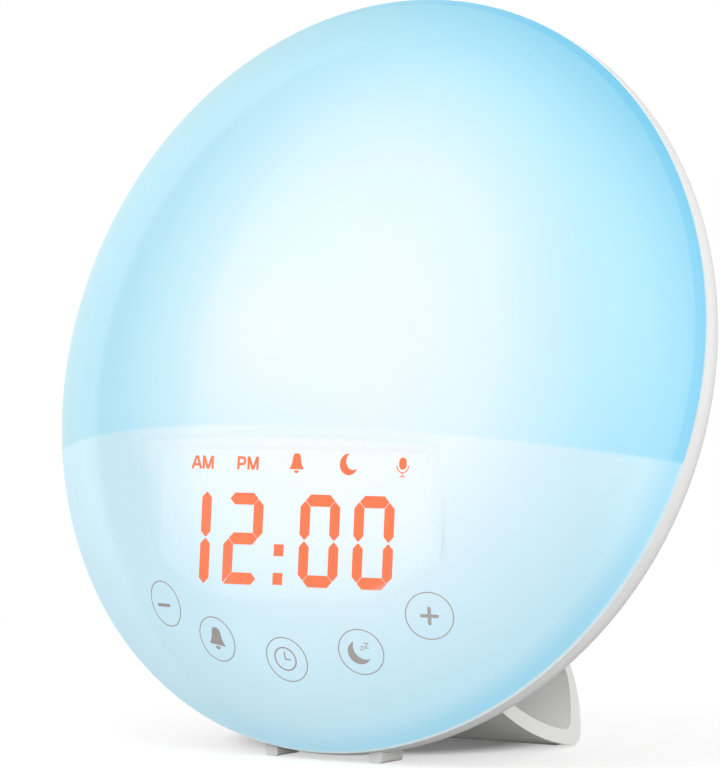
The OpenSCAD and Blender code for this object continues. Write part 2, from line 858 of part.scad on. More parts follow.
// A ribbon that lies on the main board and bends up to a board in front of it.
// way is 1 where it lies above the bend and -1 where it lies below it.
module bent_ribbon(x, width, y, front, way) {
    flat_y = way > 0 ? y : y + ribbon_t - ribbon_lap;
    translate([x - width / 2, flat_y, rear_board_front]) cube([width, ribbon_lap, ribbon_t]);
    translate([x - width / 2, y, rear_board_front])
        cube([width, ribbon_t, front - rear_board_front]);
}

display_back_y = (digit_drop + display_ribbon_y) / cos(display_tilt);
display_ribbon_end = digit_front + display_back_y * sin(display_tilt)
    - display_depth / cos(display_tilt) - 2 * ribbon_t;

module display_ribbon() at_disc() color(RIBBON)
    bent_ribbon(display_ribbon_x, display_ribbon_w, display_ribbon_y, display_ribbon_end, 1);

module lamp_ribbon() at_disc() color(RIBBON)
    bent_ribbon(lamp_ribbon_x, lamp_ribbon_w, lamp_ribbon_y, lamp_board_z, -1);

module touch_ribbon() at_disc() color(RIBBON)
    bent_ribbon(touch_ribbon_x, touch_ribbon_w, touch_ribbon_y, touch_board_z, 1);

module key_ribbon() at_disc() color(RIBBON)
    translate([key_ribbon_x - key_ribbon_w / 2, main_high - ribbon_lap, rear_board_front])
        cube([key_ribbon_w, key_board_low - main_high + 2 * ribbon_lap, ribbon_t]);

// ---------------------------------------------------------------- speaker
// Local frame of at_back: Z = 0 is the back wall's inner face, Z points out.

module at_speaker() at_disc() at_back(0, speaker_up) children();

flange_t = 1.2;
flange_z = -speaker_post_h - flange_t;
flange_mouth_r = 18;
surround_r = 1.7;
surround_gap = 0.1;
surround_mid = flange_mouth_r - surround_gap - surround_r;
cone_edge_r = surround_mid - surround_r;
cone_z = flange_z + 0.2;
neck_r = 6.5;
neck_z = cone_z - 6.2;
basket_r = 11.6;
basket_z = flange_z - 8.6;
basket_wall = 0.8;
plate_t = 1.8;
magnet_t = 4;
magnet_r = 12;
pole_r = 5.7;
coil_gap_r = 7.3;

module speaker_grille() at_speaker() color(WHITE) {
    translate([0, 0, housing_wall - grille_t]) difference() {
        cylinder(r = grille_r, h = grille_t, $fn = ROUND);
        cylinder(r = grille_hole_r, h = 3 * grille_t, center = true, $fn = SMALL);
        for (row = [1:5], i = [0:6 * row - 1])
            rotate(60 / row * i) translate([row * grille_pitch, 0, 0])
                cylinder(r = grille_hole_r, h = 3 * grille_t, center = true, $fn = SMALL);
    }
}

module speaker_gasket() at_speaker() color(BLACK)
    translate([0, 0, -speaker_post_h]) ring(speaker_mouth_r + 1.9, speaker_mouth_r, speaker_post_h);

module speaker_frame() at_speaker() color(STEEL) {
    difference() {
        translate([0, 0, flange_z]) rounded_box(speaker_size, speaker_size, flange_t, 3);
        translate([0, 0, flange_z - CUT])
            cylinder(r = flange_mouth_r, h = flange_t + 2 * CUT, $fn = ROUND);
        at_speaker_holes() translate([0, 0, flange_z - CUT])
            cylinder(r = small_bore_r, h = flange_t + 2 * CUT, $fn = SMALL);
    }
    rotate_extrude($fn = ROUND) polygon([
        [flange_mouth_r, flange_z + flange_t / 2],
        [flange_mouth_r + basket_wall, flange_z + flange_t / 2],
        [flange_mouth_r + basket_wall, flange_z - 1],
        [basket_r, basket_z],
        [basket_r - 2.4, basket_z],
        [basket_r - 2.4, basket_z + basket_wall],
        [basket_r - basket_wall, basket_z + basket_wall],
        [flange_mouth_r, flange_z - 1]
    ]);
    translate([0, terminal_y, terminal_z]) cube([10, 3, 1.6], center = true);
}

module speaker_magnet() at_speaker() color([0.35, 0.35, 0.37]) {
    yoke_z = basket_z - plate_t - magnet_t;
    rotate_extrude($fn = ROUND) polygon([
        [0, yoke_z - plate_t], [magnet_r - 1, yoke_z - plate_t], [magnet_r - 1, yoke_z],
        [magnet_r, yoke_z], [magnet_r, yoke_z + magnet_t], [magnet_r - 0.5, yoke_z + magnet_t],
        [magnet_r - 0.5, basket_z], [coil_gap_r, basket_z], [coil_gap_r, yoke_z + magnet_t],
        [coil_gap_r + 1, yoke_z + magnet_t], [coil_gap_r + 1, yoke_z], [pole_r, yoke_z],
        [pole_r, basket_z], [0, basket_z]
    ]);
}

module speaker_cone() at_speaker() color([0.2, 0.2, 0.22]) {
    skin = 0.5;
    cap_r = 8;
    cap_z = neck_z - sqrt(cap_r * cap_r - neck_r * neck_r);
    rotate_extrude($fn = ROUND) polygon([
        [neck_r, neck_z], [cone_edge_r, cone_z], [cone_edge_r, cone_z + skin],
        [neck_r, neck_z + skin], [neck_r - skin, neck_z + skin], [neck_r - skin, neck_z]
    ]);
    difference() {
        translate([0, 0, cap_z]) sphere(r = cap_r, $fn = ROUND);
        translate([0, 0, cap_z]) sphere(r = cap_r - skin, $fn = ROUND);
        translate([0, 0, neck_z - 2 * cap_r]) cylinder(r = 2 * cap_r, h = 2 * cap_r, $fn = ROUND);
    }
}

module voice_coil() at_speaker() color([0.72, 0.45, 0.2])
    translate([0, 0, basket_z - plate_t - 0.6]) ring(neck_r, neck_r - 0.4, neck_z - basket_z + plate_t + 0.6);

module speaker_surround() at_speaker() color(BLACK)
    rotate_extrude($fn = ROUND) translate([surround_mid, cone_z]) intersection() {
        difference() {
            circle(r = surround_r, $fn = ROUND);
            circle(r = surround_r - 0.4, $fn = ROUND);
        }
        translate([-surround_r, 0]) square([2 * surround_r, surround_r]);
    }

module speaker_screws() at_speaker() color(STEEL)
    at_speaker_holes() translate([0, 0, flange_z]) mirror([0, 0, 1])
        screw(small_screw_r, flange_t + speaker_post_h, small_head_r, small_head_h);

lead_r = 0.55;
terminal_z = basket_z + 2;
terminal_y = 15.5;
lead_drop = 28;

module speaker_leads() at_disc() color([0.7, 0.1, 0.1]) {
    lead_z = inner_back - terminal_z;
    start_y = speaker_up - terminal_y - 1.5;
    end_y = speaker_up - lead_drop;
    for (x = [-2.5, 2.5]) translate([x, 0, 0]) {
        translate([0, end_y, lead_z]) rotate([-90, 0, 0])
            cylinder(r = lead_r, h = start_y - end_y, $fn = SMALL);
        translate([0, end_y, lead_z]) sphere(r = lead_r, $fn = SMALL);
        translate([0, end_y, rear_board_front])
            cylinder(r = lead_r, h = lead_z - rear_board_front, $fn = SMALL);
    }
}

// ---------------------------------------------------------------- rear keys

key_flange_t = 1.1;
key_flange_gap = 0.05;
key_flange_out = 0.8;
stem_r = 1.4;
plunger_r = 1.75;
plunger_gap = 0.05;
switch_size = 6;
switch_z = -3.8;
stem_z = switch_z + key_travel + 0.3;
plunger_sink = 0.8;
key_board_half = 30;
key_board_low = key_up - 7.5;
key_board_high = key_up + 6.5;

module at_key(side) at_disc() at_back(side * key_x, key_up) children();

module key(side) at_key(side) color(WHITE) {
    linear_extrude_from(-key_flange_gap - LAP, housing_wall + key_proud) stadium(key_l, key_w);
    linear_extrude_from(-key_flange_gap - key_flange_t, -key_flange_gap)
        stadium(key_l + 2 * key_flange_out, key_w + 2 * key_flange_out);
    translate([0, 0, stem_z])
        cylinder(r = stem_r, h = -stem_z - key_flange_gap - LAP, $fn = ROUND);
}

module linear_extrude_from(low, high)
    translate([0, 0, low]) linear_extrude(high - low) children();

module plunger(side) at_key(side) color(BLACK)
    translate([0, 0, switch_z - plunger_sink])
        cylinder(r = plunger_r, h = stem_z - switch_z + plunger_sink, $fn = ROUND);

module lamp_key() key(-1);
module lamp_plunger() plunger(-1);
module sound_key() key(1);
module sound_plunger() plunger(1);

module key_switches() color(STEEL) for (side = [-1, 1]) at_key(side) difference() {
    linear_extrude_from(-board_gap, switch_z) square(switch_size, center = true);
    translate([0, 0, switch_z - plunger_sink - key_travel - 0.1])
        cylinder(r = plunger_r + plunger_gap, h = board_gap, $fn = ROUND);
}

module key_board() at_disc() color(BOARD) {
    difference() {
        rear_board(key_board_half, key_board_low, key_board_high);
        at_key_posts() translate([0, 0, rear_board_z - CUT])
            cylinder(r = small_bore_r, h = board_t + 2 * CUT, $fn = SMALL);
    }
}

module key_board_screws() at_disc() color(STEEL)
    at_key_posts() translate([0, 0, rear_board_front]) small_screw();

// ---------------------------------------------------------------- microphone

mic_r = 3;
mic_t = 2.3;
boot_wall = 0.6;
boot_web = 0.6;

module microphone() at_disc() at_back(0, key_up) color(STEEL) {
    translate([0, 0, -boot_web - mic_t]) cylinder(r = mic_r, h = mic_t, $fn = ROUND);
    for (x = [-1.2, 1.2]) translate([x, 0, -board_gap])
        cylinder(r = 0.3, h = board_gap - boot_web - mic_t + LAP, $fn = SMALL);
}

module microphone_boot() at_disc() at_back(0, key_up) color(RUBBER) {
    difference() {
        translate([0, 0, -boot_web - mic_t])
            cylinder(r = mic_r + screw_gap + boot_wall, h = boot_web + mic_t, $fn = ROUND);
        translate([0, 0, -boot_web - mic_t - CUT])
            cylinder(r = mic_r + screw_gap, h = mic_t + CUT, $fn = ROUND);
        translate([0, 0, -boot_web - CUT])
            cylinder(r = microphone_hole_r, h = boot_web + 2 * CUT, $fn = SMALL);
    }
}

// ---------------------------------------------------------------- sockets

port_gap = 0.2;
jack_size = 9;
jack_ring_r = 3.3;
jack_bore_r = 2.85;
jack_pin_r = 1;
jack_floor = 1.2 - board_gap;
usb_w = 5.8;
usb_l = 13.2;
usb_wall = 0.35;

module dc_jack() at_disc() at_back(jack_x, ports_y) color(BLACK) {
    difference() {
        union() {
            linear_extrude_from(-board_gap, -port_gap) square(jack_size, center = true);
            linear_extrude_from(-port_gap - LAP, housing_wall - 0.4) circle(r = jack_ring_r, $fn = ROUND);
        }
        linear_extrude_from(jack_floor, housing_wall + CUT) circle(r = jack_bore_r, $fn = ROUND);
    }
    linear_extrude_from(jack_floor - LAP, housing_wall - 1.4) circle(r = jack_pin_r, $fn = SMALL);
}

module usb_port() at_disc() at_back(usb_x, ports_y) color(STEEL) {
    difference() {
        linear_extrude_from(-board_gap, housing_wall - 0.3) square([usb_w, usb_l], center = true);
        linear_extrude_from(1.2 - board_gap, housing_wall + CUT)
            square([usb_w - 2 * usb_wall, usb_l - 2 * usb_wall], center = true);
    }
    linear_extrude_from(1.2 - board_gap - LAP, housing_wall - 1.4)
        translate([-usb_w / 2 + 1, -usb_l / 2 + 1]) square([1.9, usb_l - 2]);
}

// ---------------------------------------------------------------- battery

cell_top = housing_wall - door_t - 0.15;
cell_bottom = cell_top - cell_t;
contact_h = 0.8;
contact_t = 0.3;
contact_w = 4;
contact_reach = 6;
contact_leg_x = cell_r + cell_gap + 0.2;

module at_cell() at_disc() at_back(cell_x, cell_y) children();

module contact_slots() {
    translate([contact_reach - contact_t - 0.1, -contact_w / 2 - 0.1, -board_gap])
        cube([contact_t + 0.2, contact_w + 0.2, board_gap + cell_bottom]);
    translate([-contact_leg_x - contact_t, -contact_w / 2 - 0.1, -board_gap])
        cube([contact_t + 0.4, contact_w + 0.2, board_gap + cell_top]);
}

module coin_cell() at_cell() color(STEEL) {
    linear_extrude_from(cell_bottom, cell_bottom + 0.5) circle(r = 0.88 * cell_r, $fn = ROUND);
    linear_extrude_from(cell_bottom + 0.3, cell_top) circle(r = cell_r, $fn = ROUND);
}

module battery_contacts() at_cell() color([0.8, 0.7, 0.4]) {
    foot = cell_bottom - contact_h;
    rotate([90, 0, 0]) translate([0, 0, -contact_w / 2]) linear_extrude(contact_w) polygon([
        [-contact_reach, foot], [-contact_reach + 1, foot], [-1.5, cell_bottom - contact_t],
        [1.5, cell_bottom - contact_t], [contact_reach - contact_t, foot],
        [contact_reach - contact_t, -board_gap], [contact_reach, -board_gap],
        [contact_reach, foot + contact_t], [contact_reach - 1, foot + contact_t],
        [1.5, cell_bottom], [-1.5, cell_bottom], [-contact_reach, foot + contact_t]
    ]);
    translate([-contact_leg_x, -contact_w / 2, -board_gap])
        cube([contact_t, contact_w, board_gap + cell_top - 0.6]);
}

module battery_door() at_cell() color(WHITE) {
    difference() {
        translate([0, 0, housing_wall - door_t]) rounded_box(door_l, door_h, door_t, 2.8);
        for (side = [-1, 1]) translate([side * door_screw_x, 0, 0]) {
            cylinder(r = small_bore_r, h = 3 * housing_wall, $fn = SMALL);
            translate([0, 0, housing_wall - small_head_h])
                cylinder(r = small_head_r + 0.1, h = small_head_h + CUT, $fn = ROUND);
        }
    }
}

module door_screws() at_disc() color(STEEL)
    at_door_screws() translate([0, 0, housing_wall - small_head_h])
        screw(small_screw_r, small_screw_l, small_head_r, small_head_h - 0.1);

// ---------------------------------------------------------------- stand
// Outline seen from the side: X is world Y and Y is world Z, both from the disc's centre.

function polar(centre, radius, angle) = centre + radius * [cos(angle), sin(angle)];

function arc(centre, radius, from, to, steps) =
    [for (i = [0:steps]) polar(centre, radius, from + (to - from) * i / steps)];

// Where two circles cross, on the right of the line from the first centre to the second.
function crossing(c1, r1, c2, r2) =
    let (d = norm(c2 - c1), along = (r1 * r1 - r2 * r2 + d * d) / (2 * d),
         off = sqrt(r1 * r1 - along * along), way = (c2 - c1) / d)
    c1 + along * way + off * [way[1], -way[0]];

pad_w = 2.4;
pad_t = 1.4;
pad_proud = 0.2;
pad_end = 4;
heel_z = heel_r + pad_proud - disc_up;
heel_centre = [heel_reach - heel_r, heel_z];
arm_centre = [heel_reach - arm_r, heel_z];
sole_start = -97;
sole_centre = heel_centre - (sole_r - heel_r) * [cos(sole_start), sin(sole_start)];
sole_end = -127;

// The ear inside the back wall takes the screws that hold the rear arm. Both follow the arm's
// bow, whose centre is given here up the disc and out of its front.
ear_w = 24;
ear_t = 3;
ear_h = 4.6;
ear_screw_x = 8;
ear_screw_z = 2.6;
ear_screw_depth = inner_back + ear_screw_z;
ear_sink = 1.28;
arm_past_screw = 2.28;
arm_up = arm_centre[0] * sin(lean_back) + arm_centre[1] * cos(lean_back);
arm_out = arm_centre[1] * sin(lean_back) - arm_centre[0] * cos(lean_back);
arm_end = acos((arm_out - ear_screw_depth - arm_past_screw) / arm_r) - lean_back;
ear_y = arm_up + sqrt(arm_r * arm_r - pow(ear_screw_depth - arm_out, 2)) - ear_sink;

fillet_centre = crossing(arm_centre, arm_r - heel_t - heel_fillet,
                         sole_centre, sole_r - sole_t - heel_fillet);
fillet_arm = atan2(fillet_centre[1] - arm_centre[1], fillet_centre[0] - arm_centre[0]);
fillet_sole = atan2(fillet_centre[1] - sole_centre[1], fillet_centre[0] - sole_centre[0]);
taper_angle = 24;
tongue_half = 20;
tongue_lap = 0.5;

function arm_thickness(angle) =
    max(arm_t, heel_t - (heel_t - arm_t) * (angle - fillet_arm) / taper_angle);

function stand_outline(grow) = concat(
    arc(arm_centre, arm_r + grow, arm_end, 0, 14),
    arc(heel_centre, heel_r + grow, -8, sole_start + 8, 9),
    arc(sole_centre, sole_r + grow, sole_start, sole_end, 10),
    arc(sole_centre, sole_r - sole_t - grow, sole_end, fillet_sole, 9),
    arc(fillet_centre, heel_fillet - grow, fillet_sole + 12, fillet_arm - 12, 7),
    [for (i = [0:12])
        let (angle = fillet_arm + (arm_end - fillet_arm) * i / 12)
        polar(arm_centre, arm_r - arm_thickness(angle) - grow, angle)]
);

module stand_band(width, grow)
    translate([-width / 2, disc_back, disc_up]) rotate([90, 0, 90])
        linear_extrude(width) polygon(stand_outline(grow));

module stand_tongues(grow) {
    intersection() {
        stand_band(2 * tongue_half + 2 * grow, grow);
        at_disc() bowl(-tongue_lap);
    }
}

module at_stand_screws() {
    for (side = [-1, 1])
        translate([side * ear_screw_x, ear_y + ear_t, ear_screw_depth])
            rotate([-90, 0, 0]) children();
}

module stand() color(WHITE) {
    difference() {
        union() {
            difference() {
                stand_band(stand_w, 0);
                at_disc() bowl(-stand_gap);
            }
            stand_tongues(0);
        }
        at_disc() at_stand_screws() cylinder(r = small_bore_r, h = 12, center = true, $fn = SMALL);
        stand_pad_solid(0.02);
    }
}

module stand_pad_solid(gap)
    translate([-stand_w / 2 + pad_end - gap, disc_back + heel_centre[0] - pad_w / 2 - gap, 0])
        cube([stand_w - 2 * pad_end + 2 * gap, pad_w + 2 * gap, pad_t + gap]);

module stand_pad() color(RUBBER) stand_pad_solid(0);

module stand_screws() at_disc() color(STEEL)
    at_stand_screws() screw(small_screw_r, 4, small_head_r, small_head_h);

// ---------------------------------------------------------------- front feet

foot_h = 6;
foot_set_back = 2.2;
foot_round = 0.8;
foot_stem_r = 1.4;
foot_stem_back = foot_set_back + 5.6;
foot_stem_top = 5.2;
foot_skin = 0.05;
foot_y = disc_back - seam_r * sin(lean_back);

module foot_stems(gap) {
    for (side = [-1, 1])
        translate([side * foot_x, foot_y + foot_stem_back, 1])
            cylinder(r = foot_stem_r + gap, h = foot_stem_top - 1, $fn = ROUND);
}

module foot_blocks() {
    for (side = [-1, 1])
        translate([side * foot_x, foot_y + foot_set_back, foot_h / 2]) rotate([-90, 0, 0])
            rounded_box(foot_w, foot_h, foot_l, foot_round);
}

module front_feet() color(RUBBER) {
    difference() {
        foot_blocks();
        at_disc() bowl(-foot_skin);
        at_disc() translate([0, 0, -foot_skin])
            cylinder(r = 2 * seam_r, h = seam_r, $fn = ROUND);
    }
    foot_stems(0);
}

// ---------------------------------------------------------------- housing screws

module housing_screws() at_disc() color(STEEL)
    at_wells() translate([0, 0, well_top - well_floor]) rotate([180, 0, 0])
        screw(housing_screw_r, 9.6, 2 * housing_screw_r, 1.5 * housing_screw_r);

// ---------------------------------------------------------------- nodes

front_dome();
rear_housing();
reflector_tray();
light_baffle();
lamp_board();
lamp_leds();
lamp_board_screws();
display_window();
digit_segments();
symbol_lights();
display_module();
display_board();
display_screws();
touch_board();
touch_springs();
touch_board_screws();
main_board();
board_chips();
board_capacitors();
main_board_screws();
display_ribbon();
lamp_ribbon();
touch_ribbon();
key_ribbon();
speaker_grille();
speaker_gasket();
speaker_frame();
speaker_magnet();
speaker_cone();
voice_coil();
speaker_surround();
speaker_screws();
speaker_leads();
key_board();
key_switches();
key_board_screws();
lamp_key();
lamp_plunger();
sound_key();
sound_plunger();
microphone();
microphone_boot();
dc_jack();
usb_port();
coin_cell();
battery_contacts();
battery_door();
door_screws();
stand();
stand_pad();
stand_screws();
front_feet();
housing_screws();
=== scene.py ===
import math

import bpy
import numpy as np
from bpy.props import FloatProperty, FloatVectorProperty, IntProperty, PointerProperty
from mathutils import Matrix, Vector


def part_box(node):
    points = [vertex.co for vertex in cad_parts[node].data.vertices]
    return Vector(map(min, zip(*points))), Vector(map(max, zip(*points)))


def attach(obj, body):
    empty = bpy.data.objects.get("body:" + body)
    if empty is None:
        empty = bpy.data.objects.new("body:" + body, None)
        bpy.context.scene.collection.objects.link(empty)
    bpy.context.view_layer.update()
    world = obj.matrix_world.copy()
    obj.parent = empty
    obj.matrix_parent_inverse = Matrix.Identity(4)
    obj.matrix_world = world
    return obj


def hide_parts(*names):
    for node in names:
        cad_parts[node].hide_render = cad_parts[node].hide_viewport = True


bl_info = {
    "name": "Sunrise alarm clock",
    "version": (1, 0, 0),
    "blender": (4, 5, 0),
    "location": "View3D > Sidebar > Sunrise clock",
    "description": "Lit dome, printed marks, finishes and studio of a sunrise alarm clock",
    "category": "Object",
}

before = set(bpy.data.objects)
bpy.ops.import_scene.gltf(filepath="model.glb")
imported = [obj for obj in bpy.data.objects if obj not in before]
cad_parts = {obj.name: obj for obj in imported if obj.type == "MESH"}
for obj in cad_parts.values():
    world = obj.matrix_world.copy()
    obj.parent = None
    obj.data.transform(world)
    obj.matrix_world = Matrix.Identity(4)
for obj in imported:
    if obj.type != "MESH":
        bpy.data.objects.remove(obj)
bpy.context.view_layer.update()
MM = 0.001
DOME_LOW, DOME_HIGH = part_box("front_dome")


# ------------------------------------------------------------------ colours

def linear(hex_colour):
    """sRGB hex to linear red, green and blue, by the sRGB curve."""
    parts = [int(hex_colour[i:i + 2], 16) / 255 for i in (1, 3, 5)]
    return [c / 12.92 if c <= 0.04045 else ((c + 0.055) / 1.055) ** 2.4 for c in parts]


def colour(name, description, hex_colour):
    """A colour property in linear values, given as sRGB hex."""
    return FloatVectorProperty(name=name, description=description, subtype="COLOR", size=3,
                               min=0.0, max=1.0, default=linear(hex_colour))


# --------------------------------------------------------------- properties

def length(name, description, default):
    """A size property in metres."""
    return FloatProperty(name=name, description=description, default=default,
                         subtype="DISTANCE", unit="LENGTH")


class ClockSizes(bpy.types.PropertyGroup):
    """Sizes that the new pieces are worked out from."""

    seam_radius: length("Seam radius", "Radius of the seam between dome and housing", DOME_HIGH.x)
    disc_up: length("Disc height", "Height of the disc's middle above the table",
                    (DOME_LOW.z + DOME_HIGH.z) / 2)
    disc_back: length("Disc setback", "Place of the disc's middle, front to back", -0.00549506)
    lean: FloatProperty(
        name="Lean", description="Angle by which the disc leans back",
        default=math.radians(13), subtype="ANGLE", unit="ROTATION")
    dome_height: length("Dome height", "Height of the dome in front of its seam", 0.0364)
    dome_wall: length("Dome wall", "Wall of the dome", 0.0024)
    edge_round: length("Edge rounding", "Radius of the dome's moulded edge", 0.00015)
    ring_radius: length("Touch ring", "Radius of the ring round a touch mark", 0.00528)
    print_height: length("Print thickness", "How far the printed ink stands proud", 0.00005)
    digit_drop: length("Digit drop", "Distance of the digits' foot below the disc's middle", 0.0521)
    digit_front: length("Digit front", "Distance of the digits' foot in front of the seam", 0.0167)
    display_tilt: FloatProperty(
        name="Display tilt", description="How much more upright the display stands than the disc",
        default=math.radians(8.5), subtype="ANGLE", unit="ROTATION")
    dome_steps: IntProperty(
        name="Dome steps", description="Steps round the dome's axis", default=288, min=48, max=512)


class ClockColours(bpy.types.PropertyGroup):
    """Colours that a user would change."""

    housing: colour("Housing", "Moulded shell, stand and door", "#E9E9E7")
    mark: colour("Touch marks", "Ink of the printed touch marks", "#A69F9B")
    digit: colour("Digits", "Light of the digits and symbols", "#FD7D4D")
    feet: colour("Feet", "Rubber of the feet and of the stand's pad", "#C9C9C7")


class ClockStudio(bpy.types.PropertyGroup):
    """Light and camera."""

    world_light: FloatProperty(
        name="Room light", description="Strength of the even light from all sides",
        default=0.97, min=0.0, max=4.0)
    key_power: FloatProperty(
        name="Key lamp", description="Power of the soft lamp in front on the left",
        default=8.0, min=0.0, max=200.0, unit="POWER")
    fill_power: FloatProperty(
        name="Fill lamp", description="Power of the soft lamp on the right",
        default=15.0, min=0.0, max=200.0, unit="POWER")
    panel_strength: FloatProperty(
        name="Panel brightness", description="Brightness of the right panel that the gloss mirrors",
        default=2.6, min=0.0, max=20.0)
    lens: FloatProperty(
        name="Lens", description="Focal length in millimetres", default=175.2, min=20.0, max=400.0)


# ------------------------------------------------------------------- places

def sizes():
    """The scene's sizes."""
    return bpy.context.scene.clock_sizes


def dome_ball():
    """Radius and centre height in mm of the dome's outer sphere: the circle through the seam's
    two edges and the dome's top."""
    size = sizes()
    half, rise = size.seam_radius / MM, size.dome_height / MM
    radius = (half * half + rise * rise) / (2 * rise)
    return radius, rise - radius


def on_disc(u, v, w):
    """Disc coordinates in mm to metres in the row frame: u runs right, v up the leaning disc and
    w out of its front, from the middle of the seam's plane."""
    size = sizes()
    cos, sin = math.cos(size.lean), math.sin(size.lean)
    u, v, w = np.broadcast_arrays(u, v, w)
    y = size.disc_back + MM * (v * sin - w * cos)
    z = size.disc_up + MM * (v * cos + w * sin)
    return np.stack([u * MM, y, z], axis=-1)


def on_mark(angle, distance, turn):
    """Placing for a mark on the dome: the plane that touches the sphere at that distance in mm from
    the disc's axis and angle in degrees from straight down, with its y axis up the disc and then
    turned. Points are pressed on to the sphere along its radii and stand h mm proud."""
    radius, centre = dome_ball()
    a, t = math.radians(angle), math.radians(turn)
    normal = np.array([distance * math.sin(a), -distance * math.cos(a),
                       math.sqrt(radius ** 2 - distance ** 2)]) / radius
    up = np.array([0.0, 1.0, 0.0]) - normal[1] * normal
    up /= np.linalg.norm(up)
    right = np.cross(up, normal)
    right, up = (right * math.cos(t) + up * math.sin(t), up * math.cos(t) - right * math.sin(t))

    def place(x, y, h):
        point = radius * normal + x[..., None] * right + y[..., None] * up
        point *= (radius + h) / np.linalg.norm(point, axis=-1, keepdims=True)
        return on_disc(point[..., 0], point[..., 1], centre + point[..., 2])
    return place


def on_display(x, y, z):
    """Display coordinates in mm to the row frame: x runs right from the middle of the digits'
    feet, y up the digits and z out of their face."""
    size = sizes()
    cos, sin = math.cos(size.display_tilt), math.sin(size.display_tilt)
    return on_disc(x, y * cos - z * sin - size.digit_drop / MM,
                   y * sin + z * cos + size.digit_front / MM)


def on_back(centre_u, centre_v, face):
    """Placing for marks on the back: x runs right and y up as seen from behind, z out of a face
    that lies face mm behind the seam."""
    return lambda x, y, z: on_disc(centre_u - x, centre_v + y, -face - z)


# ------------------------------------------------------------------- meshes

def build(name, parts, materials, body):
    """One object from parts, put in the scene at the origin. Each part has points, groups of faces
    and, where there is more than one material, a material number for each group."""
    points, faces, numbers, start = [], [], [], 0
    for part_points, groups, *slots in parts:
        points.append(part_points)
        for i, group in enumerate(groups):
            faces += (group + start).tolist()
            numbers += [slots[0][i] if slots else 0] * len(group)
        start += len(part_points)
    mesh = bpy.data.meshes.new(name)
    mesh.from_pydata(np.concatenate(points).tolist(), [], faces)
    mesh.polygons.foreach_set("material_index", numbers)
    mesh.shade_smooth()
    mesh.set_sharp_from_angle(angle=math.radians(30))
    for material in materials:
        mesh.materials.append(material)
    mesh.update()
    if mesh.validate():
        raise RuntimeError(f"{name} has faces that aren't sound")
    piece = bpy.data.objects.new(name, mesh)
    bpy.context.scene.collection.objects.link(piece)
    if body:
        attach(piece, body)
    return piece


def quads_of(index):
    """Quads between the neighbours in a grid of point numbers."""
    return np.stack([index[:-1, :-1], index[1:, :-1], index[1:, 1:], index[:-1, 1:]], axis=-1)


def walls(p, q, rise):
    """Quads between the border edges p to q of an upper face and the same edges below."""
    return np.stack([q + rise, p + rise, p, q], axis=-1)


def plate(plan, place, low, high, around=False):
    """Closed plate. The plan is a grid of points (x, y); it is placed once at height low and once
    at height high, and walls join the two along the grid's border. around says that the grid's
    rows close into a loop."""
    x, y = plan
    along = np.diff(x[:2], axis=0)[:, :-1], np.diff(y[:2], axis=0)[:, :-1]
    across = np.diff(x[:1], axis=1), np.diff(y[:1], axis=1)
    if (along[0] * across[1] - along[1] * across[0]).sum() < 0:
        x, y = x[:, ::-1], y[:, ::-1]
    points = np.concatenate([place(x, y, h).reshape(-1, 3) for h in (low, high)])
    index = np.arange(x.size).reshape(x.shape)
    if around:
        index = np.vstack([index, index[:1]])
    quads = quads_of(index).reshape(-1, 4)
    border = [walls(index[:-1, 0], index[1:, 0], x.size),
              walls(index[1:, -1], index[:-1, -1], x.size)]
    if not around:
        border += [walls(index[-1, :-1], index[-1, 1:], x.size),
                   walls(index[0, 1:], index[0, :-1], x.size)]
    return points, [quads + x.size, quads[:, ::-1], *border]


def revolve(profile, steps):
    """Surface of revolution about the disc's axis. Each point (r, w) of the profile is carried
    round a circle, and the first and last are the poles, which fans of triangles close."""
    turn = np.linspace(0, 2 * math.pi, steps, endpoint=False)
    r, w = profile[1:-1].T
    rings = on_disc(np.outer(r, np.cos(turn)), np.outer(r, np.sin(turn)), w[:, None])
    poles = on_disc(np.zeros(2), np.zeros(2), profile[[0, -1], 1])
    index = np.arange(rings.shape[0] * steps).reshape(-1, steps)
    index = np.hstack([index, index[:, :1]])
    quads = quads_of(index)
    first = np.full(steps, index.max() + 1)
    fans = [np.stack([first, index[0, :-1], index[0, 1:]], axis=-1),
            np.stack([first + 1, index[-1, 1:], index[-1, :-1]], axis=-1)]
    return np.concatenate([rings.reshape(-1, 3), poles]), quads, fans


# -------------------------------------------------------------------- plans
# Every plan is a grid of points: the first parameter runs along the shape, the second across.

def ring_plan(radius, line, x=0.0, y=0.0, steps=96):
    """Ring: the angle runs along, the radius across, from half a line inside to half outside."""
    angle = np.linspace(0, 2 * math.pi, steps, endpoint=False)[:, None]
    r = np.array([[radius - line / 2, radius + line / 2]])
    return x + r * np.cos(angle), y + r * np.sin(angle)


def spindle_plan(along, half, x=0.0, y=0.0, turn=0.0):
    """Shape about a straight axis: at each place along it, the width runs from minus half to
    plus half. turn is the axis' angle in degrees from upright."""
    along, half = np.asarray(along, float), np.maximum(half, 0.015)
    side = np.outer(half, [-1.0, -0.5, 0.0, 0.5, 1.0])
    t = math.radians(turn)
    axis = along[:, None]
    return (x + side * math.cos(t) - axis * math.sin(t),
            y + side * math.sin(t) + axis * math.cos(t))


def bar_plan(length, width, corner, x=0.0, y=0.0, turn=0.0):
    """Bar with rounded corners: its half width falls off along a quarter circle at both ends."""
    along = -length / 2 * np.cos(np.linspace(0, math.pi, 33))
    over = np.maximum(np.abs(along) - length / 2 + corner, 0)
    half = width / 2 - corner + np.sqrt(np.maximum(corner ** 2 - over ** 2, 0))
    return spindle_plan(along, half, x, y, turn)


